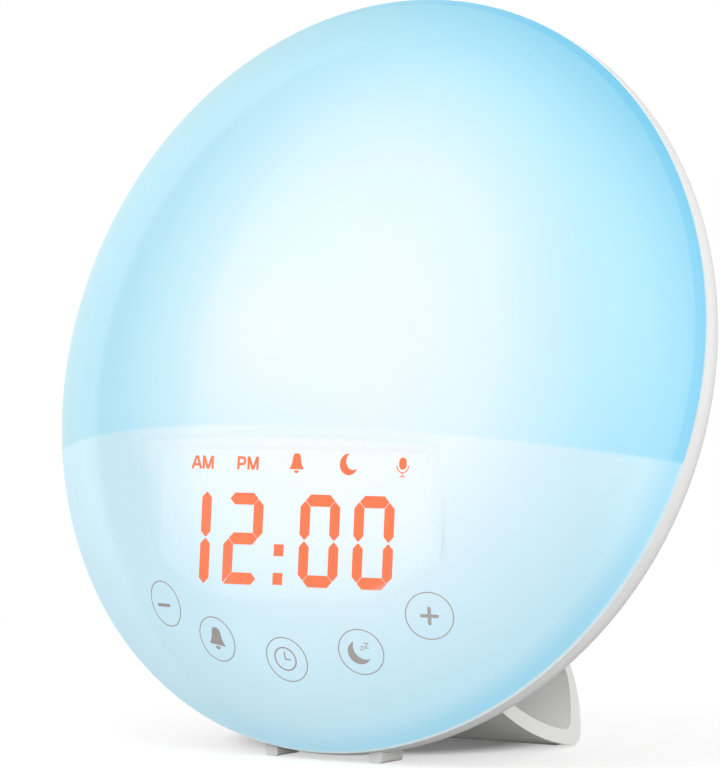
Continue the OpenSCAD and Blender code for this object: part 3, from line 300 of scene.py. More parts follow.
def bell_plan(width, height, x=0.0, y=0.0):
    """Bell: half its width against its height, round at the crown and flared at the lip."""
    heights = np.array([0, 0.03, 0.10, 0.22, 0.40, 0.60, 0.76, 0.86, 0.93, 0.975, 1.0])
    halves = np.array([0.97, 1.0, 0.93, 0.79, 0.66, 0.59, 0.55, 0.49, 0.40, 0.27, 0.02])
    level = np.linspace(0, 1, 41)
    half = np.interp(level, heights, halves) * width / 2
    return spindle_plan(level * height, half, x, y)


def clapper_plan(width, x=0.0, y=0.0):
    """Half disc with its flat side up: the half width follows a circle."""
    level = np.sin(np.linspace(0, math.pi / 2, 17))
    half = width / 2 * np.sqrt(np.maximum(1 - level ** 2, 0))
    return spindle_plan(-level * width / 2, half, x, y)


def crescent_plan(radius, thickness, opening, gap, x=0.0, y=0.0):
    """Crescent between two arcs through the same two horns. opening is the direction in degrees
    that it is open to, gap half the angle between the horns, and the inner circle's centre and
    radius follow from the thickness at the far side."""
    g, turn = math.radians(gap), math.radians(opening)
    reach = radius - thickness
    shift = (radius ** 2 - reach ** 2) / (2 * (radius * math.cos(g) + reach))
    inner = shift + reach
    horn = math.atan2(radius * math.sin(g), radius * math.cos(g) - shift)
    share = np.linspace(0.004, 0.996, 65)[:, None]
    outer_angle = g + share * (2 * math.pi - 2 * g)
    inner_angle = horn + share * (2 * math.pi - 2 * horn)
    across = np.array([[0.0, 0.5, 1.0]])
    px = ((1 - across) * radius * np.cos(outer_angle)
          + across * (shift + inner * np.cos(inner_angle)))
    py = (1 - across) * radius * np.sin(outer_angle) + across * inner * np.sin(inner_angle)
    return (x + px * math.cos(turn) - py * math.sin(turn),
            y + px * math.sin(turn) + py * math.cos(turn))


def stroke_plan(points, width, x=0.0, y=0.0):
    """Line of even width through the points: each point is moved half the width to both sides,
    along the mitre of the two stretches that meet there."""
    line = np.asarray(points, float)
    way = np.diff(line, axis=0)
    way /= np.linalg.norm(way, axis=1, keepdims=True)
    side = np.stack([-way[:, 1], way[:, 0]], axis=-1)
    mitre = (side[:-1] + side[1:]) / (1 + (side[:-1] * side[1:]).sum(axis=1, keepdims=True))
    shift = np.vstack([side[:1], mitre, side[-1:]]) * width / 2
    both = np.stack([line - shift, line + shift], axis=1)
    return x + both[..., 0], y + both[..., 1]


def arc_points(radius_x, radius_y, start, end, x=0.0, y=0.0, steps=24):
    """Points on an ellipse's arc from the start to the end angle in degrees."""
    angle = np.radians(np.linspace(start, end, steps))
    return np.stack([x + radius_x * np.cos(angle), y + radius_y * np.sin(angle)], axis=-1)


def letter_strokes(letter):
    """Centre lines of a capital 2.9 mm high, in mm from its lower left corner."""
    bowl = arc_points(0.72, 0.72, 90, -90, 1.35, 1.9, 13)
    return {
        "A": [[(0.26, 0), (1.26, 2.62), (1.66, 2.62), (2.66, 0)], [(0.7, 0.92), (2.22, 0.92)]],
        "M": [[(0.28, 0), (0.28, 2.9)], [(2.72, 0), (2.72, 2.9)],
              [(0.42, 2.76), (1.36, 0.28), (1.64, 0.28), (2.58, 2.76)]],
        "P": [[(0.28, 0), (0.28, 2.9)],
              [(0.28, 2.62), *bowl.tolist(), (0.28, 1.18)]],
    }[letter]


def plates(plans, place, low, high):
    """A plate for each plan. Each is a hair higher than the last, so that none share a face."""
    return [plate(plan[:2], place, low, high + 0.002 * i, around=len(plan) > 2)
            for i, plan in enumerate(plans)]


def closed(plan):
    """Marks a plan as one whose rows close into a loop."""
    return (*plan, True)


# ---------------------------------------------------------------- materials

def add(tree, kind, sockets=None, **settings):
    """Adds one node, gives it its settings, and sets or links its sockets."""
    node = tree.nodes.new(kind)
    for name, value in settings.items():
        setattr(node, name, value)
    for key, value in (sockets or {}).items():
        socket = node.inputs[key]
        if isinstance(value, bpy.types.NodeSocket):
            tree.links.new(value, socket)
        else:
            socket.default_value = value
    return node


def blank(name):
    """An empty node material."""
    material = bpy.data.materials.new(name)
    material.use_nodes = True
    material.node_tree.nodes.clear()
    return material, material.node_tree


def with_alpha(rgb):
    """A colour's three values with a fourth of 1."""
    return (*rgb, 1.0)


def stops(ramp, pairs):
    """Gives a colour ramp its (place, colour) pairs."""
    points = ramp.color_ramp.elements
    while len(points) < len(pairs):
        points.new(0.5)
    for point, (place, rgb) in zip(points, pairs):
        point.position = place
        point.color = with_alpha(rgb)


def skin(name, dark, light, patch, grain, depth, rough, **surface):
    """A solid, moulded, cast or coated surface. Its colour drifts between dark and light in
    patches of that many mm, and its grain, in mm across and deep, lifts the surface and varies
    the roughness between the two values given."""
    material, tree = blank(name)
    place = add(tree, "ShaderNodeTexCoord").outputs["Object"]
    drift = add(tree, "ShaderNodeTexNoise", {"Vector": place, "Scale": 1 / (patch * MM),
                                             "Detail": 3.0})
    ramp = add(tree, "ShaderNodeValToRGB", {"Fac": drift.outputs["Fac"]})
    stops(ramp, [(0.3, dark), (0.7, light)])
    fine = add(tree, "ShaderNodeTexNoise", {"Vector": place, "Scale": 1 / (grain * MM),
                                            "Detail": 2.0})
    gloss = add(tree, "ShaderNodeMapRange",
                {"Value": fine.outputs["Fac"], "From Min": 0.3, "From Max": 0.7,
                 "To Min": rough[0], "To Max": rough[1]})
    bump = add(tree, "ShaderNodeBump",
               {"Height": fine.outputs["Fac"], "Distance": depth * MM, "Strength": 1.0})
    shader = add(tree, "ShaderNodeBsdfPrincipled",
                 {"Base Color": ramp.outputs["Color"], "Roughness": gloss.outputs["Result"],
                  "Normal": bump.outputs["Normal"], **surface})
    add(tree, "ShaderNodeOutputMaterial", {"Surface": shader.outputs["BSDF"]})
    return material


def disc_axes(tree):
    """Object coordinates turned to the disc's own: X right, Y up the disc, Z out of its front."""
    size = sizes()
    place = add(tree, "ShaderNodeTexCoord").outputs["Object"]
    turned = add(tree, "ShaderNodeMapping",
                 {"Vector": place, "Location": (0.0, size.disc_back, size.disc_up),
                  "Rotation": (math.pi / 2 - size.lean, 0.0, 0.0)}, vector_type="TEXTURE")
    return turned.outputs["Vector"]


def seen_rays(tree, path):
    """A node that is 1 for a ray of the camera, of gloss or through glass, and 0 for light."""
    seen = add(tree, "ShaderNodeMath",
               {0: path.outputs["Is Camera Ray"], 1: path.outputs["Is Glossy Ray"]},
               operation="MAXIMUM")
    return add(tree, "ShaderNodeMath",
               {0: seen.outputs["Value"], 1: path.outputs["Is Transmission Ray"]},
               operation="MAXIMUM")


def glow_colour(tree, axes):
    """Colour of the light behind the dome. It changes with the distance from the disc's axis, along
    one pair of scales above the baffle's edge and another below it. The pair's two scales are for
    the left and the right, with a wide soft change between them. Their difference is partly the
    lamp's own uneven light and partly painted studio light and painted reflection on the dome.
    Returns the colour, and the nodes of the coordinates' three parts and of the distance from the
    axis."""
    split = add(tree, "ShaderNodeSeparateXYZ", {"Vector": axes})
    flat = add(tree, "ShaderNodeVectorMath", {0: axes, 1: (1.0, 1.0, 0.0)}, operation="MULTIPLY")
    away = add(tree, "ShaderNodeVectorMath", {0: flat.outputs["Vector"]}, operation="LENGTH")
    share = add(tree, "ShaderNodeMath", {0: away.outputs["Value"], 1: 1 / SCALE_LENGTH},
                operation="MULTIPLY")
    across = add(tree, "ShaderNodeMapRange",
                 {"Value": split.outputs["X"], "From Min": LEFT_ALONE, "From Max": RIGHT_ALONE},
                 interpolation_type="SMOOTHSTEP")
    edge = add(tree, "ShaderNodeMapRange",
               {"Value": split.outputs["Y"], "From Min": BAFFLE_EDGE[0],
                "From Max": BAFFLE_EDGE[1]},
               interpolation_type="SMOOTHSTEP")
    halves = []
    for pair in (ABOVE, BELOW):
        ramps = []
        for scale in pair:
            ramps.append(add(tree, "ShaderNodeValToRGB", {"Fac": share.outputs["Value"]}))
            stops(ramps[-1], scale)
        halves.append(add(tree, "ShaderNodeMix",
                          {"Factor": across.outputs["Result"], "A": ramps[0].outputs["Color"],
                           "B": ramps[1].outputs["Color"]}, data_type="RGBA"))
    both = add(tree, "ShaderNodeMix",
               {"Factor": edge.outputs["Result"], "A": halves[0].outputs["Result"],
                "B": halves[1].outputs["Result"]}, data_type="RGBA")
    return both.outputs["Result"], split, away


def scale(*places):
    """A colour scale's places with their hex colours turned to linear."""
    return [(place, linear(tone)) for place, tone in places]


# Where the scales stand, in metres: the length that their places count in, where the left one and
# the right one hold alone, and the soft edge that the baffle draws.
SCALE_LENGTH = 0.1
LEFT_ALONE, RIGHT_ALONE = -0.06, 0.05
BAFFLE_EDGE = (-0.0194, -0.0206)

# Light that comes through the dome, by distance from the disc's axis in units of 0.1 m: one scale
# for the left and one for the right. Besides the lamp's own light, the difference between left and
# right is painted studio light and painted reflection. The lower right scale ends in a painted
# highlight line along the dome's edge.
ABOVE = (
    scale((0.0, "#E8EEF5"), (0.3, "#C1ECF9"), (0.5, "#B5E5F6"), (0.7, "#B3E1F0"),
          (0.84, "#ABD6E0")),
    scale((0.0, "#EFFCFB"), (0.3, "#EDF6F9"), (0.5, "#DCF2F9"), (0.7, "#B5E6F8"),
          (0.84, "#8ED1EA"), (0.843, "#7BC9E9")))
BELOW = (
    scale((0.0, "#F2FBFD"), (0.25, "#E5F5FD"), (0.5, "#C8E7F4"), (0.7, "#CBEBF7"),
          (0.84, "#BDDEEA")),
    scale((0.0, "#EDF9FD"), (0.48, "#EAF7FC"), (0.7, "#CCE9F5"), (0.81, "#BEE3F0"),
          (0.845, "#A2D6EC"), (0.857, "#9DD6EB"), (0.8585, "#E4EEF3")))
# Painted light on the walls behind the display: the lamp's light on them, given as their own glow.
# It fades from a bright middle right of the disc's centre, which also paints the whitening that
# reflection gives there.
FIELD = scale((0.0, "#F5FAFD"), (0.25, "#F3F9FD"), (0.42, "#EBF6FC"), (0.5, "#E2F3FA"),
              (0.58, "#D7EEF7"), (0.66, "#CBE8F4"), (0.8, "#C0E2EE"))

# Moulded acrylic's refraction and the roughness of its polish.
ACRYLIC_IOR, POLISH = 1.49, 0.11
# The clear field in front of the display in metres: its half width, its upper and lower edge and
# its reach from the disc's axis, each as where it is shut and where it is fully open.
FIELD_SIDE, FIELD_TOP = (0.042, 0.036), (-0.0212, -0.0228)
FIELD_FOOT, FIELD_REACH = (-0.0585, -0.0545), (0.062, 0.057)


def opal_acrylic(name, clear, glow):
    """Opal acrylic, injection moulded and polished, lit from behind. The eye gets a deep soft
    gloss over milky light, with the faintest waviness. In front of the display the light there
    shines through, which is drawn as a clear field with soft edges under the same gloss. clear is
    that field's openness, glow the share of the colour that comes as light from behind."""
    glossy = clear < 1
    material, tree = blank(name)
    axes = disc_axes(tree)
    lit, split, away = glow_colour(tree, axes)
    base = add(tree, "ShaderNodeVectorMath", {0: lit, "Scale": 1 - glow}, operation="SCALE")
    wave = add(tree, "ShaderNodeTexNoise", {"Vector": axes, "Scale": 60.0, "Detail": 1.0})
    bump = add(tree, "ShaderNodeBump",
               {"Height": wave.outputs["Fac"], "Distance": 0.00002, "Strength": 1.0})
    shader = add(tree, "ShaderNodeBsdfPrincipled",
                 {"Base Color": base.outputs["Vector"], "Roughness": POLISH, "IOR": ACRYLIC_IOR,
                  "Specular IOR Level": 0.5 if glossy else 0.0,
                  "Normal": bump.outputs["Normal"], "Emission Color": lit,
                  "Emission Strength": glow})
    aside = add(tree, "ShaderNodeMath", {0: split.outputs["X"]}, operation="ABSOLUTE")
    edges = [(aside.outputs["Value"], *FIELD_SIDE), (split.outputs["Y"], *FIELD_TOP),
             (split.outputs["Y"], *FIELD_FOOT), (away.outputs["Value"], *FIELD_REACH)]
    window = None
    for value, shut, open_at in edges:
        side = add(tree, "ShaderNodeMapRange",
                   {"Value": value, "From Min": shut, "From Max": open_at},
                   interpolation_type="SMOOTHSTEP").outputs["Result"]
        window = side if window is None else add(
            tree, "ShaderNodeMath", {0: window, 1: side}, operation="MULTIPLY").outputs["Value"]
    through = add(tree, "ShaderNodeMath", {0: window, 1: clear}, operation="MULTIPLY")
    seen = add(tree, "ShaderNodeBsdfTransparent", {"Color": (1.0, 1.0, 1.0, 1.0)}).outputs["BSDF"]
    if glossy:
        mirror = add(tree, "ShaderNodeBsdfAnisotropic",
                     {"Roughness": POLISH, "Normal": bump.outputs["Normal"]})
        fresnel = add(tree, "ShaderNodeFresnel",
                      {"IOR": ACRYLIC_IOR, "Normal": bump.outputs["Normal"]})
        # The gloss lies over the light that shines through and doesn't dim it.
        both = add(tree, "ShaderNodeAddShader", {0: seen, 1: mirror.outputs["BSDF"]})
        seen = add(tree, "ShaderNodeMixShader",
                   {0: fresnel.outputs["Fac"], 1: seen,
                    2: both.outputs["Shader"]}).outputs["Shader"]
    mixed = add(tree, "ShaderNodeMixShader",
                {0: through.outputs["Value"], 1: shader.outputs["BSDF"], 2: seen})
    add(tree, "ShaderNodeOutputMaterial", {"Surface": mixed.outputs["Shader"]})
    return material


# Inside the lamp, for the glow painted on its walls: the way that the glow's axis runs as it comes
# forward, its place in metres in the seam's plane, and the share of the glow's colour that the
# walls have as their own colour.
LIGHT_WAY, LIGHT_MIDDLE, WALL_SHARE = (0.705, -0.216, 1.0), (-0.004, 0.004, 0.0), 0.04


def painted_lamp_light(name, rough):
    """White polystyrene, moulded matt, inside the lit lamp. The lamp's light on it is painted in as
    its own glow, even and with hardly any shading, as the light comes from all sides. The glow's
    colour changes with the distance from an axis that leans to the right and down as it comes
    forward, so that for an eye half right of the front it runs on without a step from one surface
    to the next."""
    material, tree = blank(name)
    axes = disc_axes(tree)
    depth = add(tree, "ShaderNodeSeparateXYZ", {"Vector": axes}).outputs["Z"]
    lean = add(tree, "ShaderNodeVectorMath", {0: LIGHT_WAY, "Scale": depth},
               operation="SCALE")
    flat = add(tree, "ShaderNodeVectorMath", {0: axes, 1: lean.outputs["Vector"]},
               operation="SUBTRACT")
    away = add(tree, "ShaderNodeVectorMath", {0: flat.outputs["Vector"], 1: LIGHT_MIDDLE},
               operation="DISTANCE")
    share = add(tree, "ShaderNodeMath", {0: away.outputs["Value"], 1: 1 / SCALE_LENGTH},
                operation="MULTIPLY")
    glow = add(tree, "ShaderNodeValToRGB", {"Fac": share.outputs["Value"]})
    stops(glow, FIELD)
    fine = add(tree, "ShaderNodeTexNoise", {"Vector": axes, "Scale": 1 / (0.5 * MM), "Detail": 2.0})
    bump = add(tree, "ShaderNodeBump",
               {"Height": fine.outputs["Fac"], "Distance": 0.00001, "Strength": 1.0})
    base = add(tree, "ShaderNodeVectorMath", {0: glow.outputs["Color"], "Scale": WALL_SHARE},
               operation="SCALE")
    shader = add(tree, "ShaderNodeBsdfPrincipled",
                 {"Base Color": base.outputs["Vector"], "Roughness": rough, "IOR": 1.59,
                  "Specular IOR Level": 0.0, "Normal": bump.outputs["Normal"],
                  "Emission Color": glow.outputs["Color"], "Emission Strength": 1.0})
    add(tree, "ShaderNodeOutputMaterial", {"Surface": shader.outputs["BSDF"]})
    return material


def segment_light(name):
    """Tinted epoxy over a light-emitting chip. The eye gets a flat, even orange with slightly
    livelier patches where the chip sits."""
    material, tree = blank(name)
    place = add(tree, "ShaderNodeTexCoord").outputs["Object"]
    drift = add(tree, "ShaderNodeTexNoise", {"Vector": place, "Scale": 1 / (5 * MM), "Detail": 1.0})
    ramp = add(tree, "ShaderNodeValToRGB", {"Fac": drift.outputs["Fac"]})
    digit = bpy.context.scene.clock_colours.digit
    stops(ramp, [(0.3, [c * 0.96 for c in digit]), (0.7, list(digit))])
    shader = add(tree, "ShaderNodeBsdfPrincipled",
                 {"Base Color": (0.02, 0.006, 0.003, 1.0), "Roughness": 0.5,
                  "Specular IOR Level": 0.1,
                  "Emission Color": ramp.outputs["Color"], "Emission Strength": 1.0})
    add(tree, "ShaderNodeOutputMaterial", {"Surface": shader.outputs["BSDF"]})
    return material


def circuit_laminate(name, board, track):
    """Glass-epoxy circuit board under solder mask. The eye gets a satin board with raised
    tracks that run square to each other, drawn 1.2 mm apart."""
    pitch = 1.2
    material, tree = blank(name)
    axes = disc_axes(tree)
    cells = add(tree, "ShaderNodeTexVoronoi",
                {"Vector": axes, "Scale": 1 / (2 * pitch * MM), "Randomness": 0.8},
                distance="MANHATTAN", feature="F1")
    lines = add(tree, "ShaderNodeMath", {0: cells.outputs["Distance"], 1: 2.5},
                operation="MULTIPLY")
    wrap = add(tree, "ShaderNodeMath", {0: lines.outputs["Value"], 1: 0.5}, operation="PINGPONG")
    ramp = add(tree, "ShaderNodeValToRGB", {"Fac": wrap.outputs["Value"]})
    stops(ramp, [(0.16, track), (0.2, board)])
    bump = add(tree, "ShaderNodeBump",
               {"Height": ramp.outputs["Color"], "Distance": 0.00003, "Strength": 1.0})
    shader = add(tree, "ShaderNodeBsdfPrincipled",
                 {"Base Color": ramp.outputs["Color"], "Roughness": 0.35, "IOR": 1.5,
                  "Normal": bump.outputs["Normal"]})
    add(tree, "ShaderNodeOutputMaterial", {"Surface": shader.outputs["BSDF"]})
    return material


def striped(name, ground, line, pitch, rough, metal=0.0, along="X"):
    """Something laid side by side, as wires in a ribbon or turns in a winding: bands across one
    axis, pitch mm apart, darker and lower in the grooves between them."""
    material, tree = blank(name)
    axes = disc_axes(tree)
    wave = add(tree, "ShaderNodeTexWave",
               {"Vector": axes, "Scale": math.pi / (10 * pitch * MM), "Distortion": 0.0},
               wave_type="BANDS", bands_direction=along, wave_profile="SIN")
    ramp = add(tree, "ShaderNodeValToRGB", {"Fac": wave.outputs["Fac"]})
    stops(ramp, [(0.15, line), (0.45, ground)])
    bump = add(tree, "ShaderNodeBump",
               {"Height": wave.outputs["Fac"], "Distance": pitch * MM / 4, "Strength": 0.6})
    shader = add(tree, "ShaderNodeBsdfPrincipled",
                 {"Base Color": ramp.outputs["Color"], "Roughness": rough, "Metallic": metal,
                  "Normal": bump.outputs["Normal"]})
    add(tree, "ShaderNodeOutputMaterial", {"Surface": shader.outputs["BSDF"]})
    return material


METAL = {"Metallic": 1.0}

# Solid finishes, with typical values for the material, then set to look as this one does: the dark
# and light tone (or the user's colour, and the share of it that the dark tone has), the patches,
# grain and its depth in mm, the lowest and highest roughness, and the shader's other values.
SKINS = {
    # White ABS, injection moulded in a spark-eroded tool: satin, with a fine even grain.
    "satin_abs": (("housing", 0.97), 30, 0.5, 0.002, (0.4, 0.48), {"IOR": 1.5}),
    # The same ABS from a polished tool, as on keys: tighter highlights, hardly any grain.
    "polished_abs": (("housing", 0.97), 12, 0.8, 0.003, (0.2, 0.28), {"IOR": 1.52}),
    # Black polystyrene, moulded matt.
    "matt_black_moulding": (("#141416", "#1E1E21"), 6, 0.4, 0.008, (0.45, 0.6), {"IOR": 1.55}),
    # Moulded epoxy round a chip: charcoal and stone-like.
    "chip_epoxy": (("#1A1A1C", "#2A2A2D"), 2, 0.15, 0.006, (0.5, 0.7), {"IOR": 1.55}),
    # White solder mask on an aluminium lamp board: chalky satin.
    "white_solder_mask": (("#E6E6E0", "#F2F2EC"), 8, 0.3, 0.004, (0.35, 0.5), {"IOR": 1.5}),
    # White ceramic package filled with yellow phosphor.
    "phosphor_package": (("#F2E6A0", "#F7F2D8"), 1.5, 0.2, 0.005, (0.35, 0.55), {"IOR": 1.5}),
    # Printed sleeve of an electrolytic capacitor: dark blue shrink film.
    "shrink_sleeve": (("#1F2A4A", "#2B3962"), 3, 0.6, 0.004, (0.25, 0.4), {"IOR": 1.5}),
    # Zinc-plated steel, tumbled: bright with a bluish, patchy sheen.
    "zinc_plated_steel": (("#B9BEC4", "#D6D9DC"), 1.2, 0.2, 0.004, (0.22, 0.38), METAL),
    # Drawn spring steel wire: darker, with fine die lines.
    "drawn_spring_steel": (("#8F9398", "#B2B6BA"), 0.8, 0.12, 0.004, (0.25, 0.4), METAL),
    # Tin-plated sheet steel, stamped and folded.
    "tin_plated_steel": (("#BFC0BE", "#D9DAD7"), 4, 0.3, 0.003, (0.25, 0.42), METAL),
    # Nickel-plated cup of a coin cell: bright with a fine turned grain.
    "nickel_plated_cup": (("#C4C2BC", "#DCDAD4"), 5, 0.15, 0.002, (0.18, 0.3), METAL),
    # Rolled phosphor bronze.
    "phosphor_bronze": (("#B98A4A", "#D2A765"), 2, 0.2, 0.003, (0.28, 0.42), METAL),
    # Pressed ferrite: grey-black and slightly rough.
    "pressed_ferrite": (("#2E2E31", "#3B3B3F"), 2, 0.2, 0.01, (0.6, 0.8), {"IOR": 1.6}),
    # Pressed paper pulp: dull, fibrous dark grey.
    "pulp_paper": (("#2B2B2D", "#3A3A3C"), 1.0, 0.25, 0.02, (0.75, 0.9), {"IOR": 1.45}),
    # Moulded silicone rubber of the feet and pad: pale grey and quite matt.
    "moulded_rubber": (("feet", 0.95), 6, 0.3, 0.008, (0.55, 0.7), {"IOR": 1.42}),
    # Dark grey moulded rubber: the speaker's surround and the microphone's boot.
    "dark_rubber": (("#2A2A2B", "#343436"), 3, 0.3, 0.01, (0.6, 0.75), {"IOR": 1.45}),
    # Closed-cell foam of the gasket: black and dull, with small pores.
    "closed_cell_foam": (("#19191A", "#262627"), 1.0, 0.5, 0.05, (0.85, 0.95), {"IOR": 1.4}),
    # PVC insulation of the speaker's leads, extruded: red and slightly glossy.
    "red_pvc": (("#A21D1B", "#BC2522"), 4, 0.3, 0.002, (0.3, 0.4), {"IOR": 1.53}),
    # Screen-printed ink: warm grey, slightly matt against the gloss round it.
    "screen_ink": (("mark", 0.94), 1.5, 0.2, 0.003, (0.35, 0.5), {"IOR": 1.5}),
    # Pad-printed grey on the rear keys.
    "key_ink": (("#8A8A8A", "#989898"), 1.5, 0.2, 0.003, (0.4, 0.55), {"IOR": 1.5}),
    # Gold-flashed contact strips.
    "gold_flash": (("#C9A24B", "#DDB966"), 0.8, 0.2, 0.002, (0.2, 0.32), METAL),
}

# Finishes that have a pattern or a light of their own.
PATTERNED = {
    # Glass-epoxy board under green solder mask.
    "green_laminate": lambda n: circuit_laminate(n, linear("#0F4A2C"), linear("#1D6B41")),
    # Ribbon cable: white film with tinned strips 1 mm apart showing through.
    "ribbon_film": lambda n: striped(n, linear("#E2E1DA"), linear("#B9B9B4"), 1.0, 0.35),
    # Enamelled copper wire, wound 0.2 mm apart.
    "copper_winding": lambda n: striped(n, linear("#B8733A"), linear("#6E3F1C"), 0.2, 0.3, 1.0,
                                        "Z"),
    # Walls inside the lamp and the display's diffuser: the lamp's light on them is painted in as a
    # glow.
    "lit_polystyrene": lambda n: painted_lamp_light(n, 0.5),
    "diffuser_film": lambda n: painted_lamp_light(n, 0.6),
    "segment_epoxy": segment_light,
}


def tones(first, second):
    """Dark and light tone from two hex colours, or from a user's colour and a share of it."""
    if isinstance(second, str):
        return linear(first), linear(second)
    light = list(getattr(bpy.context.scene.clock_colours, first))
    return [c * second for c in light], light


def finish(name):
    """The finish of that name, made the first time that it is asked for."""
    made = bpy.data.materials.get(name)
    if made:
        return made
    if name in PATTERNED:
        return PATTERNED[name](name)
    pair, patch, grain, depth, rough, surface = SKINS[name]
    return skin(name, *tones(*pair), patch, grain, depth, rough, **surface)


def dress(wanted):
    """Gives each CAD node its finish."""
    for name, nodes in wanted.items():
        for node in nodes:
            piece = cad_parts[node]
            piece.data.materials.clear()
            piece.data.materials.append(finish(name))


# ---------------------------------------------------------------- operators

# The dome's skirt in mm: how far it stands in from the seam, its wall, depth and chamfer.
SKIRT_INSET = 2.55
SKIRT_WALL = 1.6
SKIRT_DEPTH = 4.0
SKIRT_CHAMFER = 0.1


class CLOCK_OT_dome(bpy.types.Operator):
    """Make the milky dome with its skirt and snap hooks"""

    bl_idname = "clock.dome"
    bl_label = "Dome"

    def execute(self, context):
        size = sizes()
        radius, centre = dome_ball()
        wall, edge = size.dome_wall / MM, size.edge_round / MM
        seam = size.seam_radius / MM
        # Edge rounding: the circle that touches the sphere from inside and the plane of the seam.
        edge_r = math.sqrt((radius - edge) ** 2 - (edge - centre) ** 2)
        lean = math.atan2(edge_r, edge - centre)
        outer = np.linspace(0, lean, 90)[:, None]
        turned = np.linspace(lean, math.pi, 7)[1:, None]
        skirt = seam - SKIRT_INSET
        within, root = radius - wall, skirt - SKIRT_WALL
        inner = np.linspace(math.asin(root / within), 0, 48)[:, None]
        profile = np.vstack([
            np.hstack([radius * np.sin(outer), centre + radius * np.cos(outer)]),
            np.hstack([edge_r + edge * np.sin(turned), edge + edge * np.cos(turned)]),
            [[skirt, 0.0], [skirt, SKIRT_CHAMFER - SKIRT_DEPTH],
             [skirt - SKIRT_CHAMFER, -SKIRT_DEPTH], [root + SKIRT_CHAMFER, -SKIRT_DEPTH],
             [root, SKIRT_CHAMFER - SKIRT_DEPTH]],
            np.hstack([within * np.sin(inner), centre + within * np.cos(inner)]),
        ])
        points, quads, fans = revolve(profile, size.dome_steps)
        lining = len(quads) - len(inner) + 1
        shell = (points, [quads[:lining].reshape(-1, 4), fans[0],
                          quads[lining:].reshape(-1, 4), fans[1]], [0, 0, 1, 1])
        hooks = [self.hook(skirt, turn) for turn in range(30, 360, 60)]
        piece = build("dome", [shell, *hooks],
                      [opal_acrylic("opal_acrylic", 0.97, 0.79),
                       opal_acrylic("opal_acrylic_inner", 1.0, 1.0)],
                      "clock")
        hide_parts("front_dome")
        return {"FINISHED"}

    @staticmethod
    def hook(skirt, turn):
        """Snap hook: a four-cornered section carried 8 degrees round the skirt."""
        corner_r = np.array([skirt - 0.5, skirt + 0.55, skirt + 0.55, skirt - 0.5])
        corner_w = np.array([-1.8, -1.9, -2.3, -3.4])
        angle = np.radians(np.linspace(turn - 4, turn + 4, 9))[:, None]
        points = on_disc(corner_r * np.cos(angle), corner_r * np.sin(angle), corner_w + 0 * angle)
        index = np.arange(points.shape[0] * 4).reshape(-1, 4)
        index = np.hstack([index, index[:, :1]])
        sides = np.stack([index[:-1, :-1], index[:-1, 1:], index[1:, 1:], index[1:, :-1]], axis=-1)
        ends = np.stack([index[0, 3::-1], index[-1, :4]])
        return points.reshape(-1, 3), [sides.reshape(-1, 4)[:, ::-1], ends[:, ::-1]]


class CLOCK_OT_touch_marks(bpy.types.Operator):
    """Print the five ringed touch marks on the dome"""

    bl_idname = "clock.touch_marks"
    bl_label = "Touch marks"

    def execute(self, context):
        size = sizes()
        ink = size.print_height / MM
        letter = np.array([(-0.5, 0.5), (0.42, 0.5), (-0.42, -0.5), (0.5, -0.5)])
        # Each mark: its angle, distance and turn on the dome, and its pictogram's plans.
        marks = [
            (-31.3, 66.8, -4, [bar_plan(4.7, 0.74, 0.24, -0.7, -0.35, turn=90)]),
            (-16.8, 67.2, -11, [bell_plan(4.7, 4.25, 0, -1.35), clapper_plan(1.5, 0, -1.7)]),
            (-0.3, 67.9, -5, [closed(ring_plan(2.72, 0.34, x=-0.3, y=0.15)),
                              stroke_plan([(-0.3, 1.85), (-0.3, 0.1), (1.1, 0.1)], 0.32)]),
            (16.0, 68.0, 4, [crescent_plan(2.75, 1.8, 38, 72, -0.35, -0.1),
                             stroke_plan(letter * 0.85, 0.14, 0.4, 0.95),
                             stroke_plan(letter * 1.15, 0.18, 1.5, 1.55)]),
            (31.9, 67.1, 3, [bar_plan(4.15, 0.76, 0.38, turn=90), bar_plan(4.15, 0.76, 0.38)]),
        ]
        parts = []
        for angle, distance, turn, plans in marks:
            plans.append(closed(ring_plan(size.ring_radius / MM, 0.24)))
            parts += plates(plans, on_mark(angle, distance, turn), -0.02, ink)
        build("touch_marks", parts, [finish("screen_ink")], "clock")
        return {"FINISHED"}


class CLOCK_OT_status_row(bpy.types.Operator):
    """Light the row of symbols above the digits"""

    bl_idname = "clock.status_row"
    bl_label = "Status symbols"

    def execute(self, context):
        # Each capital with its left edge, all on one foot line and drawn with one width of line.
        foot, width = 25.2, 0.56
        capitals = (("A", -29.2), ("M", -29.2 + 3.05), ("P", -16.6), ("M", -16.6 + 2.75))
        plans = [stroke_plan(line, width, left, foot)
                 for letter, left in capitals for line in letter_strokes(letter)]
        plans += [bell_plan(3.7, 3.5, -0.6, 25.5), clapper_plan(1.2, -0.6, 25.25)]
        plans += [crescent_plan(2.35, 1.8, 32, 54, 13.2, 26.8)]
        plans += [bar_plan(2.6, 1.85, 0.92, 27.2, 27.2),
                  stroke_plan(arc_points(1.5, 1.5, 180, 360, 27.2, 26.75), 0.2),
                  stroke_plan([(27.2, 25.3), (27.2, 24.4)], 0.18),
                  stroke_plan([(26.5, 24.4), (27.9, 24.4)], 0.2)]
        build("status_symbols", plates(plans, on_display, -0.05, 0.08), [finish("segment_epoxy")],
              "clock")
        return {"FINISHED"}


# Places on the back in mm: out from the disc's middle, up the disc and behind the seam.
KEYS_OUT, KEYS_UP, KEYS_FACE = 13.0, 44.5, 39.0
SOCKETS_UP = -28.5
PIN_OUT, PIN_FACE, PIN_LENGTH = 13.0, 31.0, 5.4
# The charging socket's tongue: its broad face, to the right of the middle, and its root.
TONGUE_FACE, TONGUE_ROOT = 27.0, -34.6


